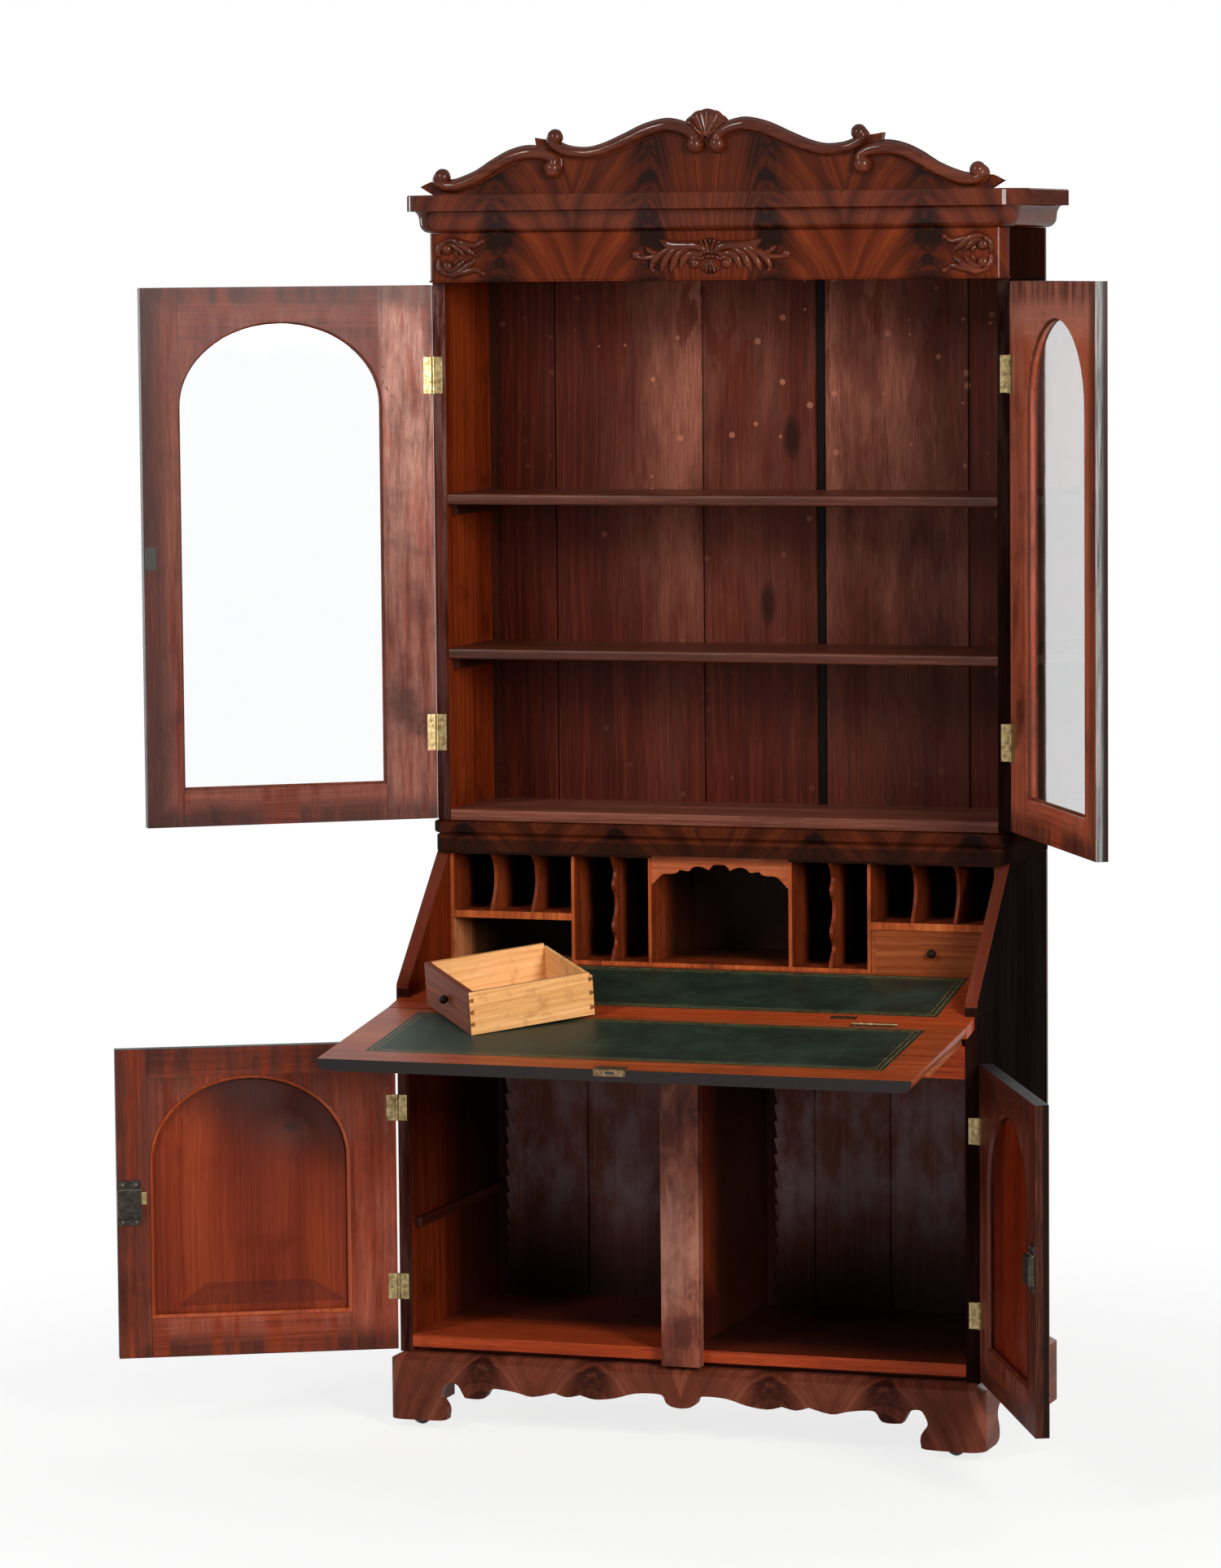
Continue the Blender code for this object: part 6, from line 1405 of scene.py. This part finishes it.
def make_arch_marks(dark):
    """Old nail dents along the arch of the upper left door."""
    place, heading = UPPER_LEFT
    frame_of = door_frame_of(place, heading, "left")
    middle, half, spring, rise = 0.2728, 0.1816, UPPER_SPRING, UPPER_RISE
    shape = Shape()
    for index in range(34):
        angle = pi * (0.02 + 0.96 * index / 33) + 0.02 * sin(7.0 * index)
        off = 0.0125 + 0.006 * sin(11.3 * index)
        u, z = middle + (half + off) * cos(angle), spring + (rise + off) * sin(angle)
        lean = angle + 1.2 + 0.9 * sin(5.1 * index)
        long, wide = 0.0035 + 0.0022 * abs(sin(3.7 * index)), 0.0007 + 0.0005 * abs(sin(2.3 * index))
        ring = []
        for step in range(8):
            turn = 2 * pi * step / 8
            a, b = long * cos(turn), wide * sin(turn)
            ring.append((u + a * cos(lean) - b * sin(lean), 0.0, z + a * sin(lean) + b * cos(lean)))
        shape.loops([[(p, out, q) for p, _, q in ring] for out in (-0.0004, 0.00008)])
    piece("arch_marks_left", shape, dark, "upper_door_left", frame_of=frame_of)


def make_packing(material):
    """The strip under the cupboard floor's front, set back from its edge."""
    shape = Shape().slab((-0.4960, -0.4420, 0.1307), (0.4960, -0.4270, 0.1399))
    piece("floor_packing", shape, material, "case")


# The valance's lower edge from its left end to the middle: shares of its half width, and heights
VALANCE_EDGE = (((-1.0, 0.9335), (-0.985, 0.9345), (-0.917, 0.9436), (-0.863, 0.9505), (-0.79, 0.9533),
                 (-0.70, 0.9535), (-0.615, 0.9560), (-0.573, 0.9642)),
                ((-0.573, 0.9642), (-0.537, 0.9603), (-0.48, 0.9588), (-0.436, 0.9592)),
                ((-0.436, 0.9592), (-0.392, 0.9648), (-0.313, 0.9674), (-0.23, 0.9655), (-0.165, 0.9617)),
                ((-0.165, 0.9617), (-0.15, 0.9620), (-0.096, 0.9697), (-0.05, 0.9724), (0.0, 0.9733)))
VALANCE_HALF = 0.1243


def make_valance(material):
    """The scalloped face of the board across the middle pigeonhole."""
    line = []
    for stretch in VALANCE_EDGE:
        points = smooth_path([(share * VALANCE_HALF, height) for share, height in stretch], 4)
        line += points[1:] if line else points
    line += [(-x, z) for x, z in reversed(line[:-1])]
    outline = [(-VALANCE_HALF, 0.9850)] + [tuple(point) for point in line] + [(VALANCE_HALF, 0.9850)]
    shape = Shape().loops([[(x, y, z) for x, z in outline] for y in (-0.2537, -0.2524)])
    piece("pigeonhole_valance", shape, material, "case")


def make_edge_lippings(material):
    """Thin strips on the bookcase sides' front corners, which close the doors' hinge gaps."""
    for label, side in (("left", -1), ("right", 1)):
        edges = sorted((side * 0.5190, side * 0.5207))
        shape = Shape().slab((edges[0], -0.2479, 1.0405), (edges[1], -0.2440, 1.9735))
        piece(f"edge_lipping_{label}", shape, material, "case")


AMBIENT = 0.09
FLOOR_HALF = 20.0


def make_room():
    """A white floor that keeps the object's shadow, a white surround and soft lamps."""
    bpy.context.scene.view_settings.view_transform = "Standard"
    world = bpy.data.worlds.new("studio")
    bpy.context.scene.world = world
    sky = Graph("studio", world)
    background = sky.tree.nodes["Background"]
    level = sky.add("MapRange", {"Value": sky.seen(), "To Min": AMBIENT, "To Max": 1.0})
    sky.put(background.inputs["Strength"], level.outputs[0])
    background.inputs["Color"].default_value = (1, 1, 1, 1)

    graph = Graph("white_floor")
    x, y, _ = graph.axes((CASE_X, CASE_Y - 0.3, 0))
    away = (x * x + y * y).math("SQRT")
    glow = away.span(0.7, 2.2, 0.8, 1.0)
    graph.finish(graph.mix(graph.noise((x, y, 0.0), 3.0), (0.8, 0.8, 0.8, 1), (0.82, 0.82, 0.82, 1)), 0.9,
                 Specular_IOR_Level=0.0)
    white = graph.add("Emission", {"Color": (1, 1, 1, 1), "Strength": 1.0})
    blend = graph.add("MixShader", {0: graph.seen() * glow})
    output = graph.tree.nodes["Material Output"]
    graph.tree.links.new(graph.shader.outputs[0], blend.inputs[1])
    graph.tree.links.new(white.outputs[0], blend.inputs[2])
    graph.tree.links.new(blend.outputs[0], output.inputs["Surface"])
    mesh = bpy.data.meshes.new("floor")
    corners = [(x * FLOOR_HALF, y * FLOOR_HALF, 0) for x, y in ((-1, -1), (1, -1), (1, 1), (-1, 1))]
    mesh.from_pydata(corners, [], [(0, 1, 2, 3)])
    mesh.materials.append(graph.material)
    floor = linked("floor", mesh)

    middle = (0.1, 0.2, 1.15)
    make_light("key", (4.9, -4.6, 3.3), middle, (1.5, 3.2), 480, (1.0, 0.97, 0.94))
    make_light("fill", (-2.8, -5.6, 4.6), middle, (1.0, 2.4), 210, (1.0, 0.98, 0.96))
    make_light("rear", (0.5, 6.5, 3.6), middle, (2.0, 2.6), 150)
    make_light("side", (-6.0, 2.6, 2.2), middle, (0.7, 2.8), 130)


make_camera()
make_room()
BRASS = metal("brass_fittings", ((96, 78, 48), (152, 132, 92), (190, 172, 130)), 0.36, 0.15)
IRON = metal("iron_fittings", ((40, 36, 33), (54, 49, 45), (74, 68, 62)), 0.55)
SHADOW = plain("dark_metal", (30, 24, 18), 0.6)
CARVED = wood("carved_wood", ((36, 13, 7), (80, 33, 16), (116, 56, 30)), "X", seed=40.0, coat=0.35, gloss=0.3,
              shine=0.0, coat_rough=0.1, grain_depth=0.05)
DULL_BRASS = metal("dull_brass", ((78, 60, 42), (134, 108, 80), (178, 150, 116)), 0.42)
dress_nodes()
for name in ("frieze", "cornice", "desk_top"):
    rounded_stack(name)
for name in ("shelf_high", "shelf_low"):
    reshaped(name, 0.005, shelf_nose)
make_carvings(CARVED)
make_crest_fan(CARVED)
make_crest_mouldings(wood("scroll_wood", ((40, 15, 8), (78, 32, 17), (112, 54, 30)), "X", seed=12.0,
                          coat=0.35, gloss=0.3, shine=0.0, coat_rough=0.06, grain_depth=0.08))
make_hinge_details(BRASS, SHADOW)
make_rim_locks(IRON, plain("dull_iron", (96, 86, 76), 0.5), BRASS)
make_case_fittings(DULL_BRASS, IRON, SHADOW)
make_dovetails(wood("end_grain", ((96, 54, 24), (140, 86, 42), (170, 112, 60)), "Z", seed=50.0))
make_back_boards(back_wood("back_boards", LIT_CUPBOARD_BACK))
make_cupboard_details(wood("cupboard_posts_wood", ((22, 9, 6), (42, 18, 11), (70, 33, 21)), "Z", seed=52.0),
                      wood("cleat_wood", ((24, 8, 5), (50, 17, 9), (84, 36, 20)), "Y", seed=53.0))
panels, bead_woods = {}, {}
# The right panel's tones are a darker copy of the left's: painted shade.
for side, place, seed, tones, shine, knot in (
        ("left", LOWER_LEFT, 60.0, ((66, 19, 7), (108, 38, 17), (142, 60, 30)), 0.12, (0.182, 0.53)),
        ("right", LOWER_RIGHT, 61.0, ((56, 13, 4), (98, 28, 8), (130, 46, 18)), 0.03, None)):
    panels[side] = wood(f"dished_panel_{side}", tones, "Z", place[0], (0, 0, place[1]), seed, streak=0.6,
                        figure=0.9, shine=shine, marks=panelled(*place, knot))
# The lower right bead's tones are a darker copy of the lower left's: painted shade.
for storey, side, name, tones, seed, coat in (
        ("upper", "left", "upper", ((50, 19, 12), (98, 44, 28), (136, 72, 48)), 55.0, 0.2),
        ("lower", "left", "lower", ((96, 36, 16), (150, 64, 32), (184, 96, 54)), 56.0, 0.3),
        ("lower", "right", "dark", ((50, 17, 9), (94, 38, 20), (130, 62, 38)), 59.0, 0.12)):
    bead_woods[storey, side] = wood(f"{name}_bead_wood", tones, "Z", seed=seed, coat=coat)
bead_woods["upper", "right"] = bead_woods["upper", "left"]
make_door_details(bead_woods, panels)
make_arch_marks(plain("nail_dents", (74, 34, 26), 0.6))
make_packing(wood("packing_wood", MAHOGANY, "X", seed=58.0))
make_valance(wood("valance_wood", ((112, 50, 26), (160, 80, 46), (196, 116, 76)), "X", seed=62.0))
make_edge_lippings(wood("lipping_wood", EDGE_BROWN, "Z", seed=57.0))
